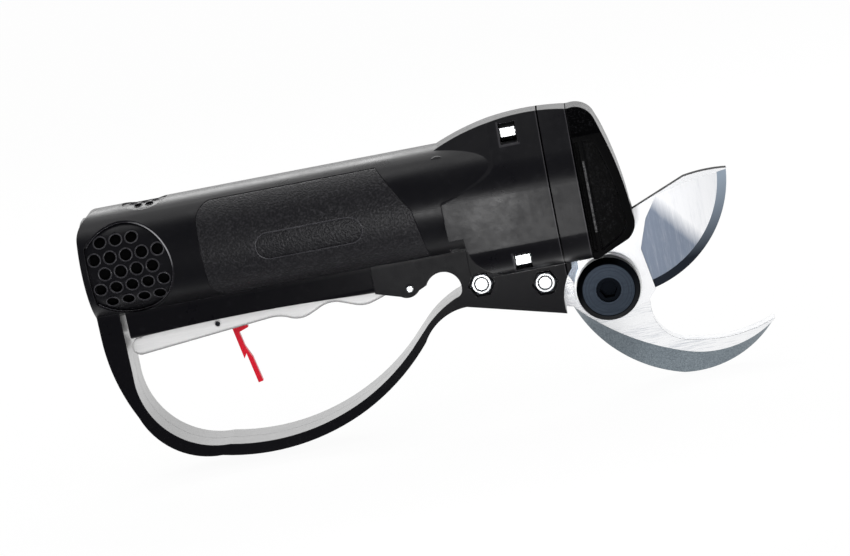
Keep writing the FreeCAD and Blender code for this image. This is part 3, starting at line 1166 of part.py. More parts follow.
# ------------------------------------------------------------------ electronics
def electronics():
    board = newBody("circuit_board")
    wide, neck = s.boardHalf, s.boardNeck
    rim = [(s.boardRear, -wide), (s.boardStep, -wide), (s.boardStep, -neck), (s.boardFront, -neck),
           (s.boardFront, neck), (s.boardStep, neck), (s.boardStep, wide), (s.boardRear, wide),
           (s.boardRear, neck), (s.boardNotch, neck), (s.boardNotch, -neck), (s.boardRear, -neck)]
    pad(board, "plate", "y", -s.boardThick / 2, s.boardThick / 2, lambda sketch: outline(sketch, rim))
    finish(board, "circuit_board")
    hall = newBody("hall_board")
    pad(hall, "plate", "z", -floorDrop, -floorDrop + s.hallThick,
        lambda sketch: rectangle(sketch, s.hallRear, -s.hallHalf, s.hallFront, s.hallHalf))
    finish(hall, "hall_board")
    magnet = newBody("lever_magnet", s.magnetX, zero, -s.leverTop)
    pad(magnet, "disc", "z", -s.magnetLong, zero,
        lambda sketch: circle(sketch, zero, zero, s.magnetRadius))
    finish(magnet, "lever_magnet")
    flange = s.capFace + s.capThick
    inlet = turned("power_inlet", [(zero, s.inletBore), (zero, s.inletRadius),
                                   (flange, s.inletRadius), (flange, s.inletFlange),
                                   (flange + s.flangeThick, s.inletFlange),
                                   (flange + s.flangeThick, s.inletRadius),
                                   (s.inletLong, s.inletRadius), (s.inletLong, zero),
                                   (s.inletDepth, zero), (s.inletDepth, s.inletBore)])
    finish(inlet, "power_inlet")


# ------------------------------------------------------------------ screws, bolts and pins
def boltAcross(name, radius, headRadius, seat, headThick, end, x, z):
    # the head stands on the seat on the far side; the shank runs to the end on the near side
    edge = s.wireRadius
    top = seat + headThick
    return turnedAcross(name, [(zero, end), (radius, end), (radius, seat), (headRadius, seat),
                               (headRadius, top - edge), (headRadius - edge, top), (zero, top)], x, z)


def fasteners():
    bolts, nuts = [], []
    nutFace = -s.guardWaist + s.pocketDepth
    for index, (x, z) in enumerate(webBolts):
        bolts.append(boltAcross(f"webBolt{index}", s.webBoltRadius, s.webHeadRadius,
                                s.guardWaist - s.webHeadSink, s.webHeadThick,
                                nutFace - s.webNutThick, x, z))
        nut = newBody(f"webNut{index}", x, zero, z)
        pad(nut, "hex", "y", nutFace - s.webNutThick, nutFace,
            lambda sketch: hexagon(sketch, zero, zero, s.webNutFlats))
        pocket(nut, "bore", "y", nutFace - s.webNutThick, nutFace,
               lambda sketch: circle(sketch, zero, zero, s.webBoltRadius + s.pinFit))
        nuts.append(nut)
    group("web_bolts", bolts)
    group("web_nuts", nuts)
    caseScrews = []
    for index, (x, z) in enumerate(screwPlaces + [(s.strapScrewX, -s.strapScrewZ)]):
        caseScrews.append(boltAcross(f"caseScrew{index}", s.caseScrew, s.caseScrewHead, caseSeat,
                                     s.caseHeadThick, -caseSeat + s.pinFit * 4, x, z))
    group("case_screws", caseScrews)
    screws, captive = [], []
    for index, (x, y, z) in enumerate(nutPlaces):
        start = x - s.nutThick / 2
        for side in (near, far):
            name = f"{index}{'near' if side == near else 'far'}"
            screws.append(turned("collarScrew" + name,
                                 [(start, zero), (start, s.screwRadius),
                                  (collarFront - s.screwHead, s.screwRadius),
                                  (collarFront - s.screwHead, s.screwHeadRadius),
                                  (collarFront, s.screwHeadRadius), (collarFront, zero)],
                                 zero, y * side, z))
            nut = newBody("captiveNut" + name, zero, y * side, z)
            pad(nut, "hex", "x", start, start + s.nutThick,
                lambda sketch: hexagon(sketch, zero, zero, s.nutFlats, upright=True))
            pocket(nut, "bore", "x", start, start + s.nutThick,
                   lambda sketch: circle(sketch, zero, zero, s.screwRadius + s.pinFit))
            captive.append(nut)
    group("collar_screws", screws)
    group("captive_nuts", captive)
    finish(crossPin("lever_pin", s.leverPinRadius, s.guardHalf, s.leverPivotX, s.leverPivotZ),
           "lever_pin")
    finish(crossPin("catch_pin", s.catchPin, s.leverHalf, s.catchPivotX, s.catchPivotZ), "catch_pin")


for side in (near, far):
    blank = housingShell(side)
    label = "right_housing_shell" if side == near else "left_housing_shell"
    recess = gripBlank(label + "_recess", side, s.gripFit, s.barrelRadius + s.beyond)
    cutBy(label, blank, [recess])
    gripPanel(side)
    sideGrille(side)
topGrille()
rearCap()
collarRing()
noseCover()
leverBody()
safetyCatch()
bladeBody()
hookBody()
pivotParts()
driveFork()
crankParts()
driveParts()
motorParts()
gearboxParts()
electronics()
fasteners()
torsionSpring("lever_spring", s.leverSpringRadius, s.leverSpringTurns, -s.springHalf / 2,
              s.leverPivotX, s.leverPivotZ)
torsionSpring("catch_spring", s.catchSpringRadius, s.catchSpringTurns, s.catchSlotHalf + s.wireRadius,
              s.catchPivotX, s.catchPivotZ)

# ------------------------------------------------------------------ checks and export
doc.recompute()
for item in doc.Objects:
    if "Invalid" in item.State or "Error" in item.State:
        raise RuntimeError(f"{item.Label} did not rebuild")
os.makedirs("parts", exist_ok=True)
for item in subparts:
    if item.Shape.isNull() or not item.Shape.isValid():
        raise RuntimeError(f"{item.Label} has no sound shape")
    item.Shape.exportStep(f"parts/{item.Label}.step")
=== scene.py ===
import math

import bpy
from mathutils import Matrix, Vector


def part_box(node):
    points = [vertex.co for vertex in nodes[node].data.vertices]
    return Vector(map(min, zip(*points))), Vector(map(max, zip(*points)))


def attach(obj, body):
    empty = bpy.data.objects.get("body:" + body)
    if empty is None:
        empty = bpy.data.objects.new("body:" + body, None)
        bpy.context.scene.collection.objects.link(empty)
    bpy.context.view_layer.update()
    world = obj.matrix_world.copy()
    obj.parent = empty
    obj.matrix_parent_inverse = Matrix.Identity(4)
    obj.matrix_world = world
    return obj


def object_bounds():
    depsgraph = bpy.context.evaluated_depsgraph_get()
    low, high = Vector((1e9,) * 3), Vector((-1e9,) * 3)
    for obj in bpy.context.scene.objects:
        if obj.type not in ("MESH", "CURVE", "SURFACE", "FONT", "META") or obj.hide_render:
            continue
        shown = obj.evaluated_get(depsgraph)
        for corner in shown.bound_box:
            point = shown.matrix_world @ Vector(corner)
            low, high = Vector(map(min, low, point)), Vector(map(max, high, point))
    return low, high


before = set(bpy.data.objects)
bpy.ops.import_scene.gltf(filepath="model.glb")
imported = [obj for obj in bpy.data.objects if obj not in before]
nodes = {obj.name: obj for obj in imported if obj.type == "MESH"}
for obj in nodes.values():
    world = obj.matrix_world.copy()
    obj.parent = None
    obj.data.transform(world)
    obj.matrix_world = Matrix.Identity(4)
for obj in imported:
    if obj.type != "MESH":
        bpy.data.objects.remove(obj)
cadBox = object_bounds()
mm = 0.001
print("frame loaded with", len(nodes), "nodes")

floorLevel = cadBox[0][2]
boltLow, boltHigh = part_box("pivot_bolt")
pivotPlace = (Vector(boltLow) + Vector(boltHigh)) / 2
white = (1, 1, 1)


# small helpers that every material below uses

def addNode(tree, kind, inputs=None, **settings):
    node = tree.nodes.new(kind)
    for key, value in settings.items():
        setattr(node, key, value)
    for key, value in (inputs or {}).items():
        feed(tree, node.inputs[key], value)
    return node


# links a socket or sets its value; a colour is given without its alpha
def feed(tree, socket, value):
    if isinstance(value, bpy.types.NodeSocket):
        tree.links.new(value, socket)
    elif socket.type == "RGBA":
        socket.default_value = (*value, 1.0)
    else:
        socket.default_value = value


def sums(tree, operation, first, second=0.0, third=0.0, clamp=False):
    node = addNode(tree, "ShaderNodeMath", operation=operation, use_clamp=clamp)
    for socket, value in zip(node.inputs, (first, second, third)):
        feed(tree, socket, value)
    return node.outputs[0]


def product(tree, first, second):
    return sums(tree, "MULTIPLY", first, second)


def opposite(tree, mask):
    return sums(tree, "SUBTRACT", 1.0, mask)


def weighed(tree, first, firstShare, second, secondShare):
    return sums(tree, "MULTIPLY_ADD", first, firstShare, product(tree, second, secondShare))


def perMillimetre(tree, size):
    return sums(tree, "DIVIDE", 1 / mm, size)


def vectors(tree, operation, first, second=(0, 0, 0)):
    node = addNode(tree, "ShaderNodeVectorMath", operation=operation)
    feed(tree, node.inputs[0], first)
    feed(tree, node.inputs[1], second)
    return node.outputs["Value" if operation in ("LENGTH", "DOT_PRODUCT") else "Vector"]


# the distance from the Y axis through the vector's zero
def roundY(tree, vector):
    return vectors(tree, "LENGTH", vectors(tree, "MULTIPLY", vector, (1, 0, 1)))


def axes(tree, vector):
    return addNode(tree, "ShaderNodeSeparateXYZ", {"Vector": vector}).outputs


def plainNormal(tree):
    return addNode(tree, "ShaderNodeNewGeometry").outputs["Normal"]


def ramp(tree, factor, low, high, start=0.0, end=1.0):
    return addNode(tree, "ShaderNodeMapRange", {"Value": factor, "From Min": low, "From Max": high,
                                                "To Min": start, "To Max": end}).outputs[0]


def noise(tree, vector, scale, detail, roughness=0.5):
    return addNode(tree, "ShaderNodeTexNoise", {"Vector": vector, "Scale": scale, "Detail": detail,
                                                "Roughness": roughness}).outputs[0]


def blendColour(tree, factor, first, second):
    node = addNode(tree, "ShaderNodeMix", data_type="RGBA")
    feed(tree, node.inputs["Factor"], factor)
    feed(tree, node.inputs[6], first)
    feed(tree, node.inputs[7], second)
    return node.outputs[2]


def objectPlace(tree, turn=(0, 0, 0), stretch=(1, 1, 1), centre=(0, 0, 0)):
    place = addNode(tree, "ShaderNodeTexCoord").outputs["Object"]
    moved = vectors(tree, "SUBTRACT", place, centre)
    return addNode(tree, "ShaderNodeMapping", {"Vector": moved, "Rotation": turn, "Scale": stretch},
                   vector_type="POINT").outputs[0]


def bumped(tree, height, distance, normal):
    return addNode(tree, "ShaderNodeBump", {"Height": height, "Distance": distance,
                                            "Normal": normal}).outputs[0]


# every group takes a Vector and some plain values
def newGroup(name, settings, values, directions=()):
    tree = bpy.data.node_groups.new(name, "ShaderNodeTree")
    sockets = tree.interface
    sockets.new_socket("Vector", in_out="INPUT", socket_type="NodeSocketVector")
    for label, value in settings.items():
        socket = sockets.new_socket(label, in_out="INPUT", socket_type="NodeSocketFloat")
        socket.default_value = value
    for label in values:
        sockets.new_socket(label, in_out="OUTPUT", socket_type="NodeSocketFloat")
    for label in directions:
        sockets.new_socket(label, in_out="OUTPUT", socket_type="NodeSocketVector")
    start = tree.nodes.new("NodeGroupInput")
    end = tree.nodes.new("NodeGroupOutput")
    return tree, start.outputs, end.inputs


def useGroup(tree, name, **inputs):
    node = tree.nodes.new("ShaderNodeGroup")
    node.node_tree = bpy.data.node_groups[name]
    for key, value in inputs.items():
        feed(tree, node.inputs[key], value)
    return node.outputs


def newMaterial(name, **values):
    material = bpy.data.materials.new(name)
    material.use_nodes = True
    shader = material.node_tree.nodes["Principled BSDF"]
    for key, value in values.items():
        shader.inputs[key].default_value = value
    return material, material.node_tree, shader


# shared effects

# pitted skin of a moulded part
grainMix = {"pits": 0.6, "drift": 0.5, "detail": 3.0, "rough": 0.6}


def buildMouldGrain(mix):
    tree, given, result = newGroup("mouldGrain", {"Size": 0.4}, ["Height"])
    scale = perMillimetre(tree, given["Size"])
    pits = addNode(tree, "ShaderNodeTexVoronoi", {"Vector": given["Vector"], "Scale": scale},
                   feature="SMOOTH_F1").outputs["Distance"]
    drift = noise(tree, given["Vector"], scale, mix["detail"], mix["rough"])
    feed(tree, result["Height"], weighed(tree, pits, mix["pits"], drift, mix["drift"]))


# edges turned round and rubbed in patches
wearMix = {"samples": 6, "breakup": 2.0, "detail": 4.0,
           "sharp": (0.02, 0.16), "patch": (0.35, 0.65)}


def buildEdgeWear(mix):
    tree, given, result = newGroup("edgeWear", {"Radius": 0.4 * mm, "Breakup": mix["breakup"]},
                                   ["Mask"], ["Normal"])
    rounded = addNode(tree, "ShaderNodeBevel", {"Radius": given["Radius"]},
                      samples=mix["samples"]).outputs[0]
    sharp = opposite(tree, vectors(tree, "DOT_PRODUCT", rounded, plainNormal(tree)))
    patch = noise(tree, given["Vector"], perMillimetre(tree, given["Breakup"]), mix["detail"])
    edge = ramp(tree, sharp, *mix["sharp"])
    feed(tree, result["Mask"], product(tree, edge, ramp(tree, patch, *mix["patch"])))
    feed(tree, result["Normal"], rounded)


# uneven shine and fine dust of a handled tool
handlingMix = {"broadScale": 45.0, "broadDetail": 5.0, "broadRough": 0.62, "fineScale": 420.0,
               "fineDetail": 3.0, "broad": 0.7, "fine": 0.3,
               "spread": (0.35, 0.65), "dust": (0.62, 0.8)}


def buildHandling(mix):
    tree, given, result = newGroup("handling", {"Low": 0.3, "High": 0.5}, ["Roughness", "Dust"])
    broad = noise(tree, given["Vector"], mix["broadScale"], mix["broadDetail"], mix["broadRough"])
    fine = noise(tree, given["Vector"], mix["fineScale"], mix["fineDetail"])
    mixed = weighed(tree, broad, mix["broad"], fine, mix["fine"])
    spread = sums(tree, "SUBTRACT", given["High"], given["Low"])
    level = sums(tree, "MULTIPLY_ADD", ramp(tree, mixed, *mix["spread"]), spread, given["Low"])
    feed(tree, result["Roughness"], level)
    feed(tree, result["Dust"], ramp(tree, fine, *mix["dust"]))


# fine lines over wider ones; the caller stretches the vector along the lines
brushMix = {"fine": 0.65, "wide": 0.35, "detail": 4.0, "rough": 0.7, "wideScale": 0.18,
            "wideDetail": 2.0}


def buildBrushing(mix):
    tree, given, result = newGroup("brushing", {"Fineness": 0.12}, ["Value"])
    scale = perMillimetre(tree, given["Fineness"])
    lines = noise(tree, given["Vector"], scale, mix["detail"], mix["rough"])
    wide = noise(tree, given["Vector"], product(tree, scale, mix["wideScale"]), mix["wideDetail"])
    feed(tree, result["Value"], weighed(tree, lines, mix["fine"], wide, mix["wide"]))


# rings about the Y axis
turningMix = {"detail": 3.0}


def buildTurning(mix):
    tree, given, result = newGroup("turning", {"Fineness": 0.2}, ["Value", "Radius"])
    radius = roundY(tree, given["Vector"])
    rings = addNode(tree, "ShaderNodeTexNoise",
                    {"W": radius, "Scale": perMillimetre(tree, given["Fineness"]),
                     "Detail": mix["detail"]},
                    noise_dimensions="1D").outputs[0]
    feed(tree, result["Value"], rings)
    feed(tree, result["Radius"], radius)


# sand-blasted or forged skin
forgedMix = {"sand": 0.8, "dents": 0.3, "detail": 6.0, "rough": 0.75, "speckle": (0.35, 0.65)}


def buildForged(mix):
    tree, given, result = newGroup("forged", {"Size": 0.5}, ["Height", "Speckle"])
    scale = perMillimetre(tree, given["Size"])
    sand = noise(tree, given["Vector"], scale, mix["detail"], mix["rough"])
    dents = addNode(tree, "ShaderNodeTexVoronoi", {"Vector": given["Vector"], "Scale": scale},
                    feature="F1").outputs["Distance"]
    feed(tree, result["Height"], weighed(tree, sand, mix["sand"], dents, mix["dents"]))
    feed(tree, result["Speckle"], ramp(tree, sand, *mix["speckle"]))


buildMouldGrain(grainMix)
buildEdgeWear(wearMix)
buildHandling(handlingMix)
buildBrushing(brushMix)
buildTurning(turningMix)
buildForged(forgedMix)
print("shared effects built")


# plastics and rubber

plasticLooks = {
    "shell_plastic": {"base": (0.0042, 0.0040, 0.0054), "worn": (0.020, 0.019, 0.023),
                      "grain": 0.42, "depth": 0.020, "low": 0.26, "high": 0.40,
                      "facing": 0.30, "grazing": 0.95, "edge": 0.5,
                      "coat": 2.2, "coatFrom": 0.3, "coatLevels": (-35.0, -12.0),
                      "webLevels": (-21.5, -19.0), "webDull": 0.62, "webFacing": (0.15, 0.4)},
    "grip_rubber": {"base": (0.0062, 0.0058, 0.0074), "worn": (0.060, 0.058, 0.065),
                    "grain": 0.75, "depth": 0.30, "low": 0.36, "high": 0.50,
                    "facing": 0.40, "grazing": 0.8, "edge": 0.35,
                    "speckle": 0.35, "speckleFrom": (0.45, 0.75)},
    "vent_plastic": {"base": (0.0048, 0.0046, 0.0060), "worn": (0.036, 0.035, 0.041),
                     "grain": 0.35, "depth": 0.016, "low": 0.24, "high": 0.36,
                     "facing": 0.26, "grazing": 0.9, "edge": 0.45},
    "vent_rim": {"base": (0.022, 0.021, 0.025), "worn": (0.15, 0.148, 0.16),
                 "grain": 0.35, "depth": 0.010, "low": 0.20, "high": 0.32,
                 "facing": 0.5, "grazing": 1.0, "edge": 0.3},
    # painted shade: the near-black sheet behind the side grilles
    "shade_sheet": {"base": (0.0012, 0.0012, 0.0014), "worn": (0.004, 0.004, 0.005),
                     "grain": 0.5, "depth": 0.12, "low": 0.7, "high": 0.9,
                     "facing": 0.1, "grazing": 0.1, "edge": 0.1},
    "inlet_plastic": {"base": (0.020, 0.020, 0.022), "worn": (0.050, 0.050, 0.054),
                      "grain": 0.3, "depth": 0.008, "low": 0.35, "high": 0.5,
                      "facing": 0.35, "grazing": 0.6, "edge": 0.3},
    "catch_red": {"base": (0.66, 0.004, 0.022), "worn": (0.80, 0.050, 0.070),
                  "grain": 0.3, "depth": 0.006, "low": 0.26, "high": 0.38,
                  "facing": 0.3, "grazing": 0.5, "edge": 0.25},
}
# the lip round the side grille carries a painted highlight on its upper front quarter
plasticLooks["vent_lip"] = {**plasticLooks["vent_rim"], "base": (0.020, 0.019, 0.023),
                            "light": (0.42, 0.42, 0.44), "highlightCentre": (17.6, -1.1),
                            "highlightAcross": (0.80, 0.60), "lightFrom": (13.5, 18.5)}
plasticDust = 0.25  # how much of the worn tone the dust brings
viewBlend = {"blend": 0.35, "from": 0.1, "to": 0.9}  # from square-on to grazing

# the dark joints between shell, collar and nose, and a painted highlight along the fine lip beside
# each
seamLook = {"places": (189.0, 200.5), "half": 0.32, "lipShift": -0.52, "lipHalf": 0.2,
            "dark": (0.0004, 0.0004, 0.0005), "light": (0.030, 0.029, 0.033)}

# raised frames of the two nut windows on each side, with a painted highlight along their rear and
# lower sides
windowHighlightLook = {"centres": ((176.3, 23.0), (173.0, -27.4)), "half": (3.4, 3.8), "wire": 0.75}


def seamMask(tree, across, shift, half):
    return sums(tree, "MAXIMUM", *(sums(tree, "COMPARE", across, (x + shift) * mm, half * mm)
                                   for x in seamLook["places"]))


def windowHighlight(tree, apart):
    frames = []
    for centres in windowHighlightLook["centres"]:
        within, border = [], []
        for axis, centre, half in zip("XZ", centres, windowHighlightLook["half"]):
            reach = (half + windowHighlightLook["wire"]) * mm
            within.append(sums(tree, "COMPARE", apart[axis], centre * mm, reach))
            border.append(sums(tree, "LESS_THAN", apart[axis], (centre - half) * mm))
        frames.append(product(tree, product(tree, *within), sums(tree, "MAXIMUM", *border)))
    return sums(tree, "MAXIMUM", *frames)


# how far a face turns from the eye, and the shine that grows with it
def viewGloss(tree, normal, look):
    facing = addNode(tree, "ShaderNodeLayerWeight",
                     {"Blend": viewBlend["blend"], "Normal": normal}).outputs["Facing"]
    return facing, ramp(tree, facing, viewBlend["from"], viewBlend["to"],
                        look["facing"], look["grazing"])


# painted highlight: a tone that changes to light along one direction in the XZ plane
def highlightSide(tree, look, tone):
    x, z = look["highlightCentre"]
    apart = axes(tree, objectPlace(tree, centre=(x * mm, 0, z * mm)))
    acrossX, acrossZ = look["highlightAcross"]
    along = weighed(tree, apart["X"], acrossX, apart["Z"], acrossZ)
    start, end = look["lightFrom"]
    return blendColour(tree, ramp(tree, along, start * mm, end * mm), tone, look["light"])


# the shell alone: seam lines, painted highlights beside them and on the window frames, a duller web
# and a grazing sheen low on the body
def shellDetail(tree, shader, look, place, tone, facing, gloss):
    apart = axes(tree, place)
    # painted highlight along the seam lips and the window frames
    lip = seamMask(tree, apart["X"], seamLook["lipShift"], seamLook["lipHalf"])
    lip = sums(tree, "MAXIMUM", lip, windowHighlight(tree, apart))
    seam = seamMask(tree, apart["X"], 0.0, seamLook["half"])
    tone = blendColour(tree, lip, tone, seamLook["light"])
    tone = blendColour(tree, seam, tone, seamLook["dark"])
    webLow, webHigh = look["webLevels"]
    web = product(tree, ramp(tree, apart["Z"], webLow * mm, webHigh * mm, look["webDull"], 0.0),
                  ramp(tree, facing, *look["webFacing"], 1.0, 0.0))
    gloss = product(tree, product(tree, gloss, opposite(tree, seam)), opposite(tree, web))
    coatLow, coatHigh = look["coatLevels"]
    low = ramp(tree, apart["Z"], coatLow * mm, coatHigh * mm, 1.0, 0.0)
    sheen = ramp(tree, facing, look["coatFrom"], 2 * look["coatFrom"])
    feed(tree, shader.inputs["Coat Weight"], product(tree, low, sheen))
    feed(tree, shader.inputs["Coat Roughness"], look["low"])
    feed(tree, shader.inputs["Coat IOR"], look["coat"])
    return tone, gloss


def makePlastic(name, look):
    material, tree, shader = newMaterial(name)
    place = objectPlace(tree)
    wear = useGroup(tree, "edgeWear", Vector=place, Radius=look["edge"] * mm)
    marks = useGroup(tree, "handling", Vector=place, Low=look["low"], High=look["high"])
    grain = useGroup(tree, "mouldGrain", Vector=place, Size=look["grain"])["Height"]
    dust = product(tree, marks["Dust"], plasticDust)
    tone = blendColour(tree, dust, look["base"], look["worn"])
    tone = blendColour(tree, wear["Mask"], tone, look["worn"])
    # painted highlight on the vent lip
    if "light" in look:
        tone = highlightSide(tree, look, tone)
    if "speckle" in look:
        dots = product(tree, ramp(tree, grain, *look["speckleFrom"]), look["speckle"])
        tone = blendColour(tree, dots, tone, look["worn"])
    facing, gloss = viewGloss(tree, wear["Normal"], look)
    if "coat" in look:
        tone, gloss = shellDetail(tree, shader, look, place, tone, facing, gloss)
    feed(tree, shader.inputs["Specular IOR Level"], gloss)
    feed(tree, shader.inputs["Base Color"], tone)
    feed(tree, shader.inputs["Roughness"], marks["Roughness"])
    feed(tree, shader.inputs["Normal"],
         bumped(tree, grain, look["depth"] * mm, wear["Normal"]))
    return material


# the nose is moulded in black with a rough panel, and its rib carries a painted highlight along the
# middle
noseLook = {"base": (0.0008, 0.0008, 0.0010), "worn": (0.006, 0.006, 0.007),
            "speck": (0.010, 0.010, 0.011), "speckSize": 0.9, "speckFrom": (0.62, 0.95),
            "rib": (0.17, 0.17, 0.175), "ribX": 203.6, "ribHalf": 0.42, "ribLow": -22.0,
            "ribHigh": 7.0, "panelDepth": 0.9, "roughDepth": 0.1, "low": 0.20, "high": 0.34,
            "edge": 0.8, "facing": 0.03, "grazing": 0.25}


def makeNosePlastic(name, look):
    material, tree, shader = newMaterial(name)
    place = objectPlace(tree)
    wear = useGroup(tree, "edgeWear", Vector=place, Radius=look["edge"] * mm)
    marks = useGroup(tree, "handling", Vector=place, Low=look["low"], High=look["high"])
    rough = useGroup(tree, "forged", Vector=place, Size=look["speckSize"])
    apart = axes(tree, place)
    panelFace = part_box("nose_cover")[1][1] - look["panelDepth"] * mm
    panel = sums(tree, "LESS_THAN", sums(tree, "ABSOLUTE", apart["Y"]), panelFace)
    speck = product(tree, panel, ramp(tree, rough["Speckle"], *look["speckFrom"]))
    middle = (look["ribLow"] + look["ribHigh"]) / 2 * mm
    reach = (look["ribHigh"] - look["ribLow"]) / 2 * mm
    # painted highlight along the rib
    rib = product(tree, sums(tree, "COMPARE", apart["X"], look["ribX"] * mm, look["ribHalf"] * mm),
                  sums(tree, "COMPARE", apart["Z"], middle, reach))
    tone = blendColour(tree, wear["Mask"], look["base"], look["worn"])
    tone = blendColour(tree, speck, tone, look["speck"])
    tone = blendColour(tree, product(tree, rib, rough["Speckle"]), tone, look["rib"])
    feed(tree, shader.inputs["Base Color"], tone)
    feed(tree, shader.inputs["Specular IOR Level"], viewGloss(tree, wear["Normal"], look)[1])
    feed(tree, shader.inputs["Roughness"], marks["Roughness"])
    height = product(tree, rough["Height"], panel)
    feed(tree, shader.inputs["Normal"],
         bumped(tree, height, look["roughDepth"] * mm, wear["Normal"]))
    return material


# metals; stretch is small along the brushed lines

metalLooks = {
    "lever_alloy": {"base": (0.96, 0.955, 0.95), "dark": (0.70, 0.70, 0.71), "line": 0.16,
                    "stretch": (0.04, 1, 1), "depth": 0.006, "low": 0.12, "high": 0.26,
                    "edge": 1.4, "metallic": 0.22, "under": (0.014, 0.015, 0.018),
                    "underReach": 1.8, "underFrom": (0.22, 0.45)},
    "screw_steel": {"base": (0.92, 0.93, 0.93), "dark": (0.56, 0.58, 0.60), "line": 0.14,
                    "stretch": (1, 1, 0.15), "depth": 0.005, "low": 0.20, "high": 0.36,
                    "edge": 0.3, "metallic": 1.0},
    "pin_steel": {"base": (0.060, 0.064, 0.072), "dark": (0.018, 0.019, 0.023), "line": 0.16,
                  "stretch": (1, 0.2, 1), "depth": 0.006, "low": 0.28, "high": 0.42,
                  "edge": 0.35, "metallic": 1.0},
    "bronze": {"base": (0.60, 0.38, 0.16), "dark": (0.28, 0.16, 0.06), "line": 0.2,
               "stretch": (1, 0.2, 1), "depth": 0.006, "low": 0.28, "high": 0.44,
               "edge": 0.3, "metallic": 1.0},
    "motor_steel": {"base": (0.40, 0.41, 0.43), "dark": (0.20, 0.20, 0.22), "line": 0.2,
                    "stretch": (1, 0.1, 0.1), "depth": 0.006, "low": 0.30, "high": 0.45,
                    "edge": 0.3, "metallic": 1.0},
}
# painted shade on the web's bolts: dark corners outside their turned face and a dark groove inside
# it
metalLooks["nut_steel"] = {**metalLooks["screw_steel"], "shade": (0.035, 0.037, 0.042),
                           "discs": ((154.5, -35.4), (179.6, -39.6)), "discRadius": 3.72,
                           "groove": 2.74, "grooveHalf": 0.3}
lineBlend = {"from": 0.42, "to": 0.62, "even": 0.65}  # even: share of the plain base tone


def discShade(tree, look):
    radius = sums(tree, "MINIMUM", *(roundY(tree, objectPlace(tree, centre=(x * mm, 0, z * mm)))
                                     for x, z in look["discs"]))
    corner = sums(tree, "GREATER_THAN", radius, look["discRadius"] * mm)
    groove = sums(tree, "COMPARE", radius, look["groove"] * mm, look["grooveHalf"] * mm)
    return sums(tree, "MAXIMUM", corner, groove)


# painted shade on the faces that look down, and the edge above them
def underMask(tree, look):
    rounded = addNode(tree, "ShaderNodeBevel", {"Radius": look["underReach"] * mm}).outputs[0]
    down = product(tree, axes(tree, rounded)["Z"], -1.0)
    return ramp(tree, down, *look["underFrom"])


def makeMetal(name, look):
    material, tree, shader = newMaterial(name, Metallic=look["metallic"])
    place = objectPlace(tree)
    wear = useGroup(tree, "edgeWear", Vector=place, Radius=look["edge"] * mm)
    marks = useGroup(tree, "handling", Vector=place, Low=look["low"], High=look["high"])
    lines = useGroup(tree, "brushing", Vector=objectPlace(tree, stretch=look["stretch"]),
                     Fineness=look["line"])["Value"]
    tone = blendColour(tree, ramp(tree, lines, lineBlend["from"], lineBlend["to"]),
                       look["dark"], look["base"])
    tone = blendColour(tree, lineBlend["even"], tone, look["base"])
    # painted shade in the bolts' corners and groove
    if "discs" in look:
        tone = blendColour(tree, discShade(tree, look), tone, look["shade"])
    # painted shade on the lever's downward faces
    if "under" in look:
        tone = blendColour(tree, underMask(tree, look), tone, look["under"])
    feed(tree, shader.inputs["Base Color"], tone)
    feed(tree, shader.inputs["Roughness"], marks["Roughness"])
    feed(tree, shader.inputs["Normal"],
         bumped(tree, lines, look["depth"] * mm, wear["Normal"]))
    return material


# the blade: polished plate, brushed ground face set below it, painted dark reflection on the bevel
# along the edge
bladeLook = {"polish": (0.93, 0.935, 0.95), "low": 0.14, "high": 0.26, "edge": 0.2,
             "ground": (0.20, 0.235, 0.30), "groundDepth": 0.45, "groundRough": 0.14,
             "line": 0.22, "stretch": (1, 1, 0.04), "depth": 0.006, "streak": 0.9,
             "fadeAcross": (0.781, 0.625), "fadeFrom": 164.5, "fadeTo": 171.0,
             "bevel": (0.014, 0.018, 0.026), "bevelTip": (0.42, 0.50, 0.60),
             "bevelLow": -42.0, "bevelHigh": 0.0, "steep": 0.3, "flat": 0.98,
             "flank": (0.004, 0.004, 0.005), "gloss": 0.5, "flankGloss": 0.01,
             "tang": (0.30, 0.335, 0.39), "tangReach": 10.3}


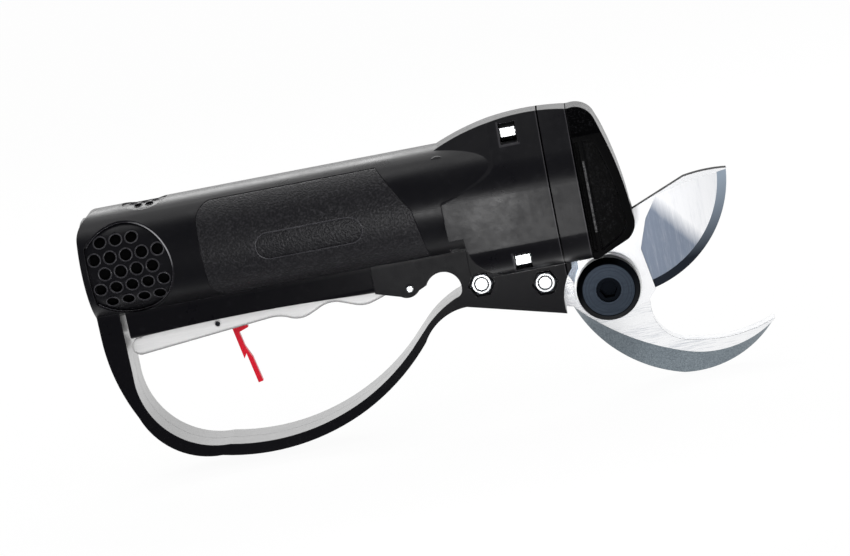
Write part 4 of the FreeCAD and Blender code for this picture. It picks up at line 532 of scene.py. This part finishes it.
def makeBladeSteel(name, look):
    material, tree, shader = newMaterial(name)
    place = objectPlace(tree)
    apart = axes(tree, place)
    wear = useGroup(tree, "edgeWear", Vector=place, Radius=look["edge"] * mm)
    marks = useGroup(tree, "handling", Vector=place, Low=look["low"], High=look["high"])
    lines = useGroup(tree, "brushing", Vector=objectPlace(tree, stretch=look["stretch"]),
                     Fineness=look["line"])["Value"]

    # the faces by their slope and depth
    facing = axes(tree, plainNormal(tree))["Y"]
    squareOn = sums(tree, "ABSOLUTE", facing)
    flank = sums(tree, "LESS_THAN", squareOn, look["steep"])
    bevel = product(tree, sums(tree, "GREATER_THAN", squareOn, look["steep"]),
                    sums(tree, "LESS_THAN", squareOn, look["flat"]))
    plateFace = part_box("blade")[0][1] + look["groundDepth"] * mm
    ground = product(tree, sums(tree, "GREATER_THAN", apart["Y"], plateFace),
                     sums(tree, "LESS_THAN", facing, -look["steep"]))
    tang = sums(tree, "LESS_THAN", apart["X"], pivotPlace.x - look["tangReach"] * mm)

    # painted reflection: the ground face is painted dark at the neck and brightens towards the tip
    # in streaks
    acrossX, acrossZ = look["fadeAcross"]
    along = weighed(tree, apart["X"], acrossX, apart["Z"], acrossZ)
    reflectionFade = ramp(tree, along, look["fadeFrom"] * mm, look["fadeTo"] * mm)
    uneven = product(tree, sums(tree, "SUBTRACT", lines, 0.5), look["streak"])
    streaky = sums(tree, "ADD", reflectionFade, uneven, clamp=True)
    rise = ramp(tree, apart["Z"], look["bevelLow"] * mm, look["bevelHigh"] * mm)
    tone = blendColour(tree, tang, look["polish"], look["tang"])
    tone = blendColour(tree, ground, tone,
                       blendColour(tree, streaky, look["ground"], look["polish"]))
    # painted reflection on the bevel: dark lower down, lighter higher up
    tone = blendColour(tree, bevel, tone,
                       blendColour(tree, rise, look["bevel"], look["bevelTip"]))
    # painted shade: the flanks are painted near-black and dull, not metallic
    tone = blendColour(tree, flank, tone, look["flank"])

    feed(tree, shader.inputs["Base Color"], tone)
    feed(tree, shader.inputs["Metallic"], opposite(tree, flank))
    feed(tree, shader.inputs["Specular IOR Level"],
         ramp(tree, flank, 0.0, 1.0, look["gloss"], look["flankGloss"]))
    feed(tree, shader.inputs["Roughness"],
         sums(tree, "MULTIPLY_ADD", ground, look["groundRough"], marks["Roughness"]))
    feed(tree, shader.inputs["Normal"],
         bumped(tree, lines, look["depth"] * mm, wear["Normal"]))
    return material


# the hook: polished face with crossing grinding marks, sand-blasted flank
hookLook = {"polish": (0.92, 0.925, 0.935), "mark": (0.50, 0.53, 0.58), "markFrom": (0.30, 0.50),
            "low": 0.16, "high": 0.30, "edge": 0.35, "faceSide": -0.95,
            "line": 0.5, "lineTurn": 40, "stretch": (0.06, 1, 1), "depth": 0.008,
            "throatRise": 0.12, "throatSide": 0.5,
            "flank": (0.30, 0.345, 0.375), "flankDark": (0.12, 0.145, 0.17), "flankRough": 0.28,
            "sand": 0.55, "sandDepth": 0.12}


def makeHookSteel(name, look):
    material, tree, shader = newMaterial(name, Metallic=1.0)
    place = objectPlace(tree)
    wear = useGroup(tree, "edgeWear", Vector=place, Radius=look["edge"] * mm)
    marks = useGroup(tree, "handling", Vector=place, Low=look["low"], High=look["high"])
    sand = useGroup(tree, "forged", Vector=place, Size=look["sand"])
    drawn = objectPlace(tree, (0, math.radians(look["lineTurn"]), 0), look["stretch"])
    lines = useGroup(tree, "brushing", Vector=drawn, Fineness=look["line"])["Value"]
    normal = axes(tree, plainNormal(tree))
    throat = product(tree, sums(tree, "GREATER_THAN", normal["Z"], look["throatRise"]),
                     sums(tree, "LESS_THAN", normal["Y"], look["throatSide"]))
    face = sums(tree, "MAXIMUM", throat, sums(tree, "LESS_THAN", normal["Y"], look["faceSide"]))
    flank = opposite(tree, face)
    faceTone = blendColour(tree, ramp(tree, lines, *look["markFrom"]), look["mark"], look["polish"])
    flankTone = blendColour(tree, sand["Speckle"], look["flankDark"], look["flank"])
    feed(tree, shader.inputs["Base Color"], blendColour(tree, face, flankTone, faceTone))
    feed(tree, shader.inputs["Roughness"],
         sums(tree, "MULTIPLY_ADD", flank, look["flankRough"], marks["Roughness"]))
    sanded = bumped(tree, product(tree, sand["Height"], flank), look["sandDepth"] * mm,
                    wear["Normal"])
    feed(tree, shader.inputs["Normal"],
         bumped(tree, product(tree, lines, face), look["depth"] * mm, sanded))
    return material


# the pivot bolt: turned face between the recess and the lip, the rest blackened
boltLook = {"face": (0.024, 0.030, 0.041), "light": (0.046, 0.058, 0.075),
            "black": (0.004, 0.005, 0.007), "recess": 4.95, "lip": 10.35, "faceSide": -0.98,
            "ring": 0.35, "rings": 0.5, "line": 0.2, "lines": 0.5, "lineTurn": 35,
            "stretch": (0.15, 1, 1), "lightFrom": (0.4, 0.62), "roughFrom": (0.3, 0.7),
            "low": 0.30, "high": 0.46, "edge": 0.3, "depth": 0.01}


def makePivotSteel(name, look):
    material, tree, shader = newMaterial(name, Metallic=1.0)
    place = objectPlace(tree, centre=tuple(pivotPlace))
    wear = useGroup(tree, "edgeWear", Vector=place, Radius=look["edge"] * mm)
    turned = useGroup(tree, "turning", Vector=place, Fineness=look["ring"])
    drawn = objectPlace(tree, (0, math.radians(look["lineTurn"]), 0), look["stretch"])
    brushed = useGroup(tree, "brushing", Vector=drawn, Fineness=look["line"])["Value"]
    grain = weighed(tree, turned["Value"], look["rings"], brushed, look["lines"])
    middle, half = (look["recess"] + look["lip"]) / 2, (look["lip"] - look["recess"]) / 2
    ring = sums(tree, "COMPARE", turned["Radius"], middle * mm, half * mm)
    front = sums(tree, "LESS_THAN", axes(tree, plainNormal(tree))["Y"], look["faceSide"])
    faceTone = blendColour(tree, ramp(tree, grain, *look["lightFrom"]), look["face"], look["light"])
    feed(tree, shader.inputs["Base Color"],
         blendColour(tree, product(tree, ring, front), look["black"], faceTone))
    feed(tree, shader.inputs["Roughness"],
         ramp(tree, grain, *look["roughFrom"], look["low"], look["high"]))
    feed(tree, shader.inputs["Normal"],
         bumped(tree, grain, look["depth"] * mm, wear["Normal"]))
    return material


# windings: lacquered copper laid round the axis
windingLook = {"copper": (0.55, 0.20, 0.07), "shade": (0.20, 0.06, 0.02), "metallic": 0.9,
               "roughness": 0.32, "wire": 0.7, "waves": 0.05, "uneven": 1.5, "depth": 0.1}


def makeWinding(name, look):
    material, tree, shader = newMaterial(name, Metallic=look["metallic"],
                                         Roughness=look["roughness"])
    turns = addNode(tree, "ShaderNodeTexWave",
                    {"Vector": objectPlace(tree), "Scale": look["waves"] / (look["wire"] * mm),
                     "Distortion": look["uneven"]}, bands_direction="X").outputs["Fac"]
    feed(tree, shader.inputs["Base Color"], blendColour(tree, turns, look["shade"], look["copper"]))
    feed(tree, shader.inputs["Normal"],
         bumped(tree, turns, look["depth"] * mm, plainNormal(tree)))
    return material


# the boards: green lacquer with lighter tracks
boardLook = {"board": (0.010, 0.075, 0.030), "track": (0.020, 0.13, 0.055), "pitch": 5.6,
             "mortar": 0.06, "gloss": 0.5, "coat": 0.3, "low": 0.3, "high": 0.45}


def makeBoard(name, look):
    material, tree, shader = newMaterial(name, **{"Specular IOR Level": look["gloss"],
                                                  "Coat Weight": look["coat"]})
    place = objectPlace(tree)
    tracks = addNode(tree, "ShaderNodeTexBrick",
                     {"Vector": place, "Scale": 1 / (look["pitch"] * mm), "Color1": look["board"],
                      "Color2": look["board"], "Mortar": look["track"],
                      "Mortar Size": look["mortar"]}).outputs["Color"]
    marks = useGroup(tree, "handling", Vector=place, Low=look["low"], High=look["high"])
    feed(tree, shader.inputs["Base Color"], tracks)
    feed(tree, shader.inputs["Roughness"], marks["Roughness"])
    return material


finishes = {name: makePlastic(name, look) for name, look in plasticLooks.items()}
finishes.update({name: makeMetal(name, look) for name, look in metalLooks.items()})
for name, make, look in (("nose_plastic", makeNosePlastic, noseLook),
                         ("blade_steel", makeBladeSteel, bladeLook),
                         ("hook_steel", makeHookSteel, hookLook),
                         ("pivot_dark", makePivotSteel, boltLook),
                         ("winding_copper", makeWinding, windingLook),
                         ("board_green", makeBoard, boardLook)):
    finishes[name] = make(name, look)

# small steel parts that the record groups with others
ownFinish = {"captive_nuts": "screw_steel", "pivot_washer": "screw_steel",
             "lever_pin": "screw_steel", "web_bolts": "nut_steel", "web_nuts": "nut_steel"}
for name, node in nodes.items():
    for slot in node.material_slots:
        slot.material = finishes[ownFinish.get(name, slot.material.name.split(".")[0])]
print("finishes given to", len(nodes), "nodes")


# new pieces

smoothAngle = 40
weldWithin = 0.001
fullTurn, quarterTurn = math.radians(360), math.radians(90)


def onSide(stem, side):
    return stem + ("_right" if side < 0 else "_left")


def choose(*pieces):
    bpy.ops.object.select_all(action="DESELECT")
    for piece in pieces:
        piece.select_set(True)
    bpy.context.view_layer.objects.active = pieces[0]


# starts a piece from a primitive, with its place and turn taken into its mesh
def started(make, name, **settings):
    bpy.ops.object.select_all(action="DESELECT")
    make(**settings)
    bpy.ops.object.transform_apply(location=True, rotation=True, scale=True)
    bpy.context.object.name = name
    return bpy.context.object


def edit(mode="EDIT"):
    bpy.ops.object.mode_set(mode=mode)
    if mode == "EDIT":
        bpy.ops.mesh.select_all(action="SELECT")


# selects the vertices that pass a test, for the next operator
def picked(piece, test):
    edit()
    bpy.ops.mesh.select_mode(type="VERT")
    bpy.ops.mesh.select_all(action="DESELECT")
    edit("OBJECT")
    for vertex in piece.data.vertices:
        vertex.select = test(vertex.co)
    bpy.ops.object.mode_set(mode="EDIT")


def finished(piece, finish):
    choose(piece)
    bpy.ops.object.shade_smooth_by_angle(angle=math.radians(smoothAngle))
    piece.data.materials.clear()
    piece.data.materials.append(finishes[finish])
    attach(piece, "body")


# the piece is drawn flat about y = 0 and laid on a cylinder about the barrel's axis
def wrapped(piece, radius, side):
    for vertex in piece.data.vertices:
        place = vertex.co
        place.y += side * math.sqrt(max((radius * mm) ** 2 - place.z ** 2, 0))
    return piece


# one rim: its round section, spun about the hole's axis
def buildRim(look):
    rim = started(bpy.ops.mesh.primitive_circle_add, "rim", vertices=look["sides"],
                  radius=look["minor"] * mm, rotation=(quarterTurn, 0, 0),
                  location=(look["major"] * mm, 0, 0))
    edit()
    bpy.ops.mesh.spin(steps=look["steps"], angle=fullTurn, center=(0, 0, 0), axis=(0, 0, 1))
    bpy.ops.mesh.select_all(action="SELECT")
    bpy.ops.mesh.remove_doubles(threshold=weldWithin * mm)
    bpy.ops.mesh.normals_make_consistent(inside=False)
    edit("OBJECT")
    return rim


# copies of a piece, each with its own mesh, at the places and turns given, joined into one
def copies(piece, placings, name):
    parts = []
    for place, turn in placings:
        choose(piece)
        bpy.ops.object.duplicate(linked=False)
        part = bpy.context.object
        part.location = Vector(place) * mm
        part.rotation_euler = (turn, 0, 0)
        parts.append(part)
    bpy.data.objects.remove(piece)
    choose(*parts)
    bpy.ops.object.join()
    bpy.ops.object.transform_apply(location=True, rotation=True, scale=True)
    bpy.context.object.name = name
    return bpy.context.object


# places of a staggered grid of holes, the same number of rows each way from its centre
def holeGrid(look):
    across, along = look["centre"]
    count = range(-look["rows"], look["rows"] + 1)
    return [(across + (step + (row % 2) / 2) * look["pitch"], along + row * look["row"])
            for row in count for step in count]


# raised rims round the holes of the side grilles, on the barrel's curve
rims = {"centre": (15.4, -0.6), "pitch": 6.45, "row": 6.1, "rows": 3, "vent": (17.6, -1.1),
        "reach": 16.15, "firstHole": 5.35, "radius": 21.1, "major": 2.6, "minor": 0.3,
        "steps": 28, "sides": 8}


def buildRims(look, side):
    placings = []
    for x, z in holeGrid(look):
        if math.dist((x, z), look["vent"]) < look["reach"] and x > look["firstHole"]:
            tilt = math.asin(z / look["radius"])
            y = side * look["radius"] * math.cos(tilt)
            placings.append(((x, y, z), quarterTurn + side * tilt))
    return copies(buildRim(look), placings, onSide("vent_rims", side))


# the same round the seven holes of the top grille
topRims = {"centre": (27.5, 0.0), "pitch": 4.6, "row": 4.0, "rows": 2, "reach": 7.5,
           "radius": 21.75, "major": 1.82, "minor": 0.22, "steps": 24, "sides": 8}


def buildTopRims(look):
    placings = []
    for x, y in holeGrid(look):
        if math.dist((x, y), look["centre"]) < look["reach"]:
            tilt = math.asin(y / look["radius"])
            placings.append(((x, y, look["radius"] * math.cos(tilt)), -tilt))
    return copies(buildRim(look), placings, "vent_rims_top")


# a lip round each side grille, cut off square at the rear
lips = {"vent": (17.6, -1.1), "major": 18.7, "minor": 0.42, "back": 3.4, "radius": 21.6,
        "steps": 120, "sides": 10}


def buildLip(look, side):
    x, z = look["vent"]
    lip = started(bpy.ops.mesh.primitive_torus_add, onSide("vent_lip", side),
                  location=(x * mm, 0, z * mm), rotation=(quarterTurn, 0, 0),
                  major_radius=look["major"] * mm, minor_radius=look["minor"] * mm,
                  major_segments=look["steps"], minor_segments=look["sides"])
    edit()
    bpy.ops.mesh.bisect(plane_co=(look["back"] * mm, 0, 0), plane_no=(1, 0, 0),
                        clear_inner=True, use_fill=True)
    edit("OBJECT")
    return wrapped(lip, look["radius"], side)


# a near-black sheet behind each side grille as painted shade inside the housing
shadeSheets = {"radius": 19.3, "start": 3.2, "end": 34.5, "half": 16.6, "thick": 0.3, "sides": 128}


def buildShadeSheet(look, side):
    sheet = started(bpy.ops.mesh.primitive_cylinder_add, onSide("vent_filter", side),
                    vertices=look["sides"], radius=look["radius"] * mm,
                    depth=(look["end"] - look["start"]) * mm, end_fill_type="NOTHING",
                    rotation=(0, quarterTurn, 0),
                    location=((look["start"] + look["end"]) / 2 * mm, 0, 0))
    high = look["half"] * mm
    for plane, keep in (((0, 0, 0), (0, side, 0)), ((0, 0, high), (0, 0, -1)),
                        ((0, 0, -high), (0, 0, 1))):
        edit()
        bpy.ops.mesh.bisect(plane_co=plane, plane_no=keep, clear_inner=True)
        edit("OBJECT")
    layer = sheet.modifiers.new("thickness", "SOLIDIFY")
    layer.thickness = look["thick"] * mm
    bpy.ops.object.modifier_apply(modifier="thickness")
    return sheet


# fine bead round the bare label recess: a ring pulled apart along the barrel
beads = {"label": (91.6, -1.5), "long": 43.0, "tall": 10.8, "radius": 22.44, "minor": 0.32,
         "steps": 64, "sides": 8}


def buildBead(look, side):
    x, z = look["label"]
    bend = look["tall"] / 2
    bead = started(bpy.ops.mesh.primitive_torus_add, onSide("label_bead", side),
                   rotation=(quarterTurn, 0, 0), major_radius=bend * mm,
                   minor_radius=look["minor"] * mm, major_segments=look["steps"],
                   minor_segments=look["sides"])
    shift = (look["long"] / 2 - bend) * mm
    for end in (-1, 1):
        picked(bead, lambda place: place.x * end > 0)
        bpy.ops.transform.translate(value=(end * shift, 0, 0))
        edit("OBJECT")
    edit()
    bpy.ops.transform.translate(value=(x * mm, 0, z * mm))
    edit("OBJECT")
    return wrapped(bead, look["radius"], side)


finished(buildTopRims(topRims), "vent_rim")
for side in (-1, 1):
    finished(buildRims(rims, side), "vent_rim")
    finished(buildLip(lips, side), "vent_lip")
    finished(buildShadeSheet(shadeSheets, side), "shade_sheet")
print("vent rims, lips and filters built")
for side in (-1, 1):
    finished(buildBead(beads, side), "vent_rim")
print("label beads built")


# floor, backdrop light and lamps; shiny faces see a dark card in front and white behind

studio = {"floorHalf": 3.0, "floorTone": 0.94, "floorRough": 0.9, "floorGloss": 0.1, "shown": 0.95,
          "worldFill": 0.75, "card": (0.06, 0.065, 0.08), "cardFade": (-0.30, 0.30),
          "clothFade": (-0.05, 0.02), "cardStart": (0.18, 0.21)}


def seenFactor(tree):
    rays = addNode(tree, "ShaderNodeLightPath").outputs
    seen = sums(tree, "MAXIMUM", rays["Is Camera Ray"], rays["Is Glossy Ray"])
    return rays, sums(tree, "MAXIMUM", seen, rays["Is Transmission Ray"])


def mixShaders(tree, factor, first, second, output):
    mixed = addNode(tree, "ShaderNodeMixShader", {"Fac": factor})
    tree.links.new(first, mixed.inputs[1])
    tree.links.new(second, mixed.inputs[2])
    tree.links.new(mixed.outputs[0], tree.nodes[output].inputs["Surface"])


def buildFloor(look):
    floor = started(bpy.ops.mesh.primitive_plane_add, "floor", size=2 * look["floorHalf"],
                    location=(0, 0, floorLevel))
    material, tree, shader = newMaterial("floorPaper", Roughness=look["floorRough"],
                                         **{"Specular IOR Level": look["floorGloss"]})
    feed(tree, shader.inputs["Base Color"], [look["floorTone"]] * 3)
    rays, seen = seenFactor(tree)
    spot = axes(tree, addNode(tree, "ShaderNodeTexCoord").outputs["Object"])
    paper = sums(tree, "MAXIMUM", ramp(tree, spot["Y"], *look["clothFade"]),
                 ramp(tree, spot["X"], *look["cardStart"]))
    reflected = blendColour(tree, paper, look["card"], white)
    shown = blendColour(tree, rays["Is Camera Ray"], reflected, white)
    glow = addNode(tree, "ShaderNodeEmission", {"Color": shown, "Strength": 1.0}).outputs[0]
    mixShaders(tree, product(tree, seen, look["shown"]), shader.outputs[0], glow, "Material Output")
    floor.data.materials.append(material)


def buildWorld(look):
    world = bpy.data.worlds.new("studio")
    bpy.context.scene.world = world
    world.use_nodes = True
    tree = world.node_tree
    rays, seen = seenFactor(tree)
    direction = axes(tree, addNode(tree, "ShaderNodeTexCoord").outputs["Generated"])
    card = ramp(tree, product(tree, direction["Y"], -1.0), *look["cardFade"])
    glossy = blendColour(tree, card, white, look["card"])
    shown = blendColour(tree, rays["Is Camera Ray"], glossy, white)
    lit = addNode(tree, "ShaderNodeBackground", {"Color": white, "Strength": look["worldFill"]})
    backdrop = addNode(tree, "ShaderNodeBackground", {"Color": shown, "Strength": 1.0})
    mixShaders(tree, seen, lit.outputs[0], backdrop.outputs[0], "World Output")


lamps = {
    "keySoftbox": {"place": (0.10, -0.09, 0.90), "aim": (0.10, 0, 0.0), "wide": 0.8,
                   "deep": 0.25, "watts": 0.9},
    "sheenCard": {"place": (0.151, -0.25, -0.047), "aim": (0.16, 0, -0.045), "wide": 0.075,
                  "deep": 0.034, "watts": 0.13},
    "fillSoftbox": {"place": (-0.60, -0.70, 0.15), "aim": (0.10, 0, -0.03), "wide": 0.4,
                    "deep": 0.6, "watts": 0.8},
    "rimSoftbox": {"place": (0.15, 0.65, 0.55), "aim": (0.12, 0, 0.0), "wide": 0.9,
                   "deep": 0.25, "watts": 3.0},
    "frontSoftbox": {"place": (0.80, -0.45, 0.30), "aim": (0.20, 0, -0.03), "wide": 0.3,
                     "deep": 0.6, "watts": 0.8},
}


def buildLamp(name, lamp):
    light = bpy.data.lights.new(name, "AREA")
    light.shape = "RECTANGLE"
    light.size, light.size_y, light.energy = lamp["wide"], lamp["deep"], lamp["watts"]
    holder = bpy.data.objects.new(name, light)
    bpy.context.collection.objects.link(holder)
    holder.location = lamp["place"]
    aim = Vector(lamp["aim"]) - Vector(lamp["place"])
    holder.rotation_euler = aim.to_track_quat("-Z", "Y").to_euler()


buildFloor(studio)
buildWorld(studio)
for name, lamp in lamps.items():
    buildLamp(name, lamp)
print("floor, backdrop and", len(lamps), "lamps set")


# camera: long lens, looking slightly down on the right-hand side and rolled with the tool

cameraView = {"distance": 1.2, "elevation": 11.5, "swing": 4.0, "roll": 11.5, "span": 340.0,
              "sensor": 36.0, "aim": (132.8, -10.0, -28.44)}


def buildCamera(view):
    lens = bpy.data.cameras.new("camera")
    lens.sensor_width = view["sensor"]
    lens.lens = view["sensor"] * view["distance"] / (view["span"] * mm)
    holder = bpy.data.objects.new("camera", lens)
    bpy.context.collection.objects.link(holder)
    rise, swing, roll = (math.radians(view[name]) for name in ("elevation", "swing", "roll"))
    level = Vector((math.cos(swing), math.sin(swing), 0))
    forward = Vector((-math.sin(swing), math.cos(swing), 0))
    ahead = math.cos(rise) * forward - math.sin(rise) * Vector((0, 0, 1))
    upright = math.sin(rise) * forward + math.cos(rise) * Vector((0, 0, 1))
    right = math.cos(roll) * level - math.sin(roll) * upright
    up = math.sin(roll) * level + math.cos(roll) * upright
    turn = Matrix((right, up, -ahead)).transposed().to_4x4()
    place = Vector(view["aim"]) * mm - ahead * view["distance"]
    holder.matrix_world = Matrix.Translation(place) @ turn
    bpy.context.scene.camera = holder


buildCamera(cameraView)
bpy.context.scene.view_settings.view_transform = "Standard"
print("camera set")
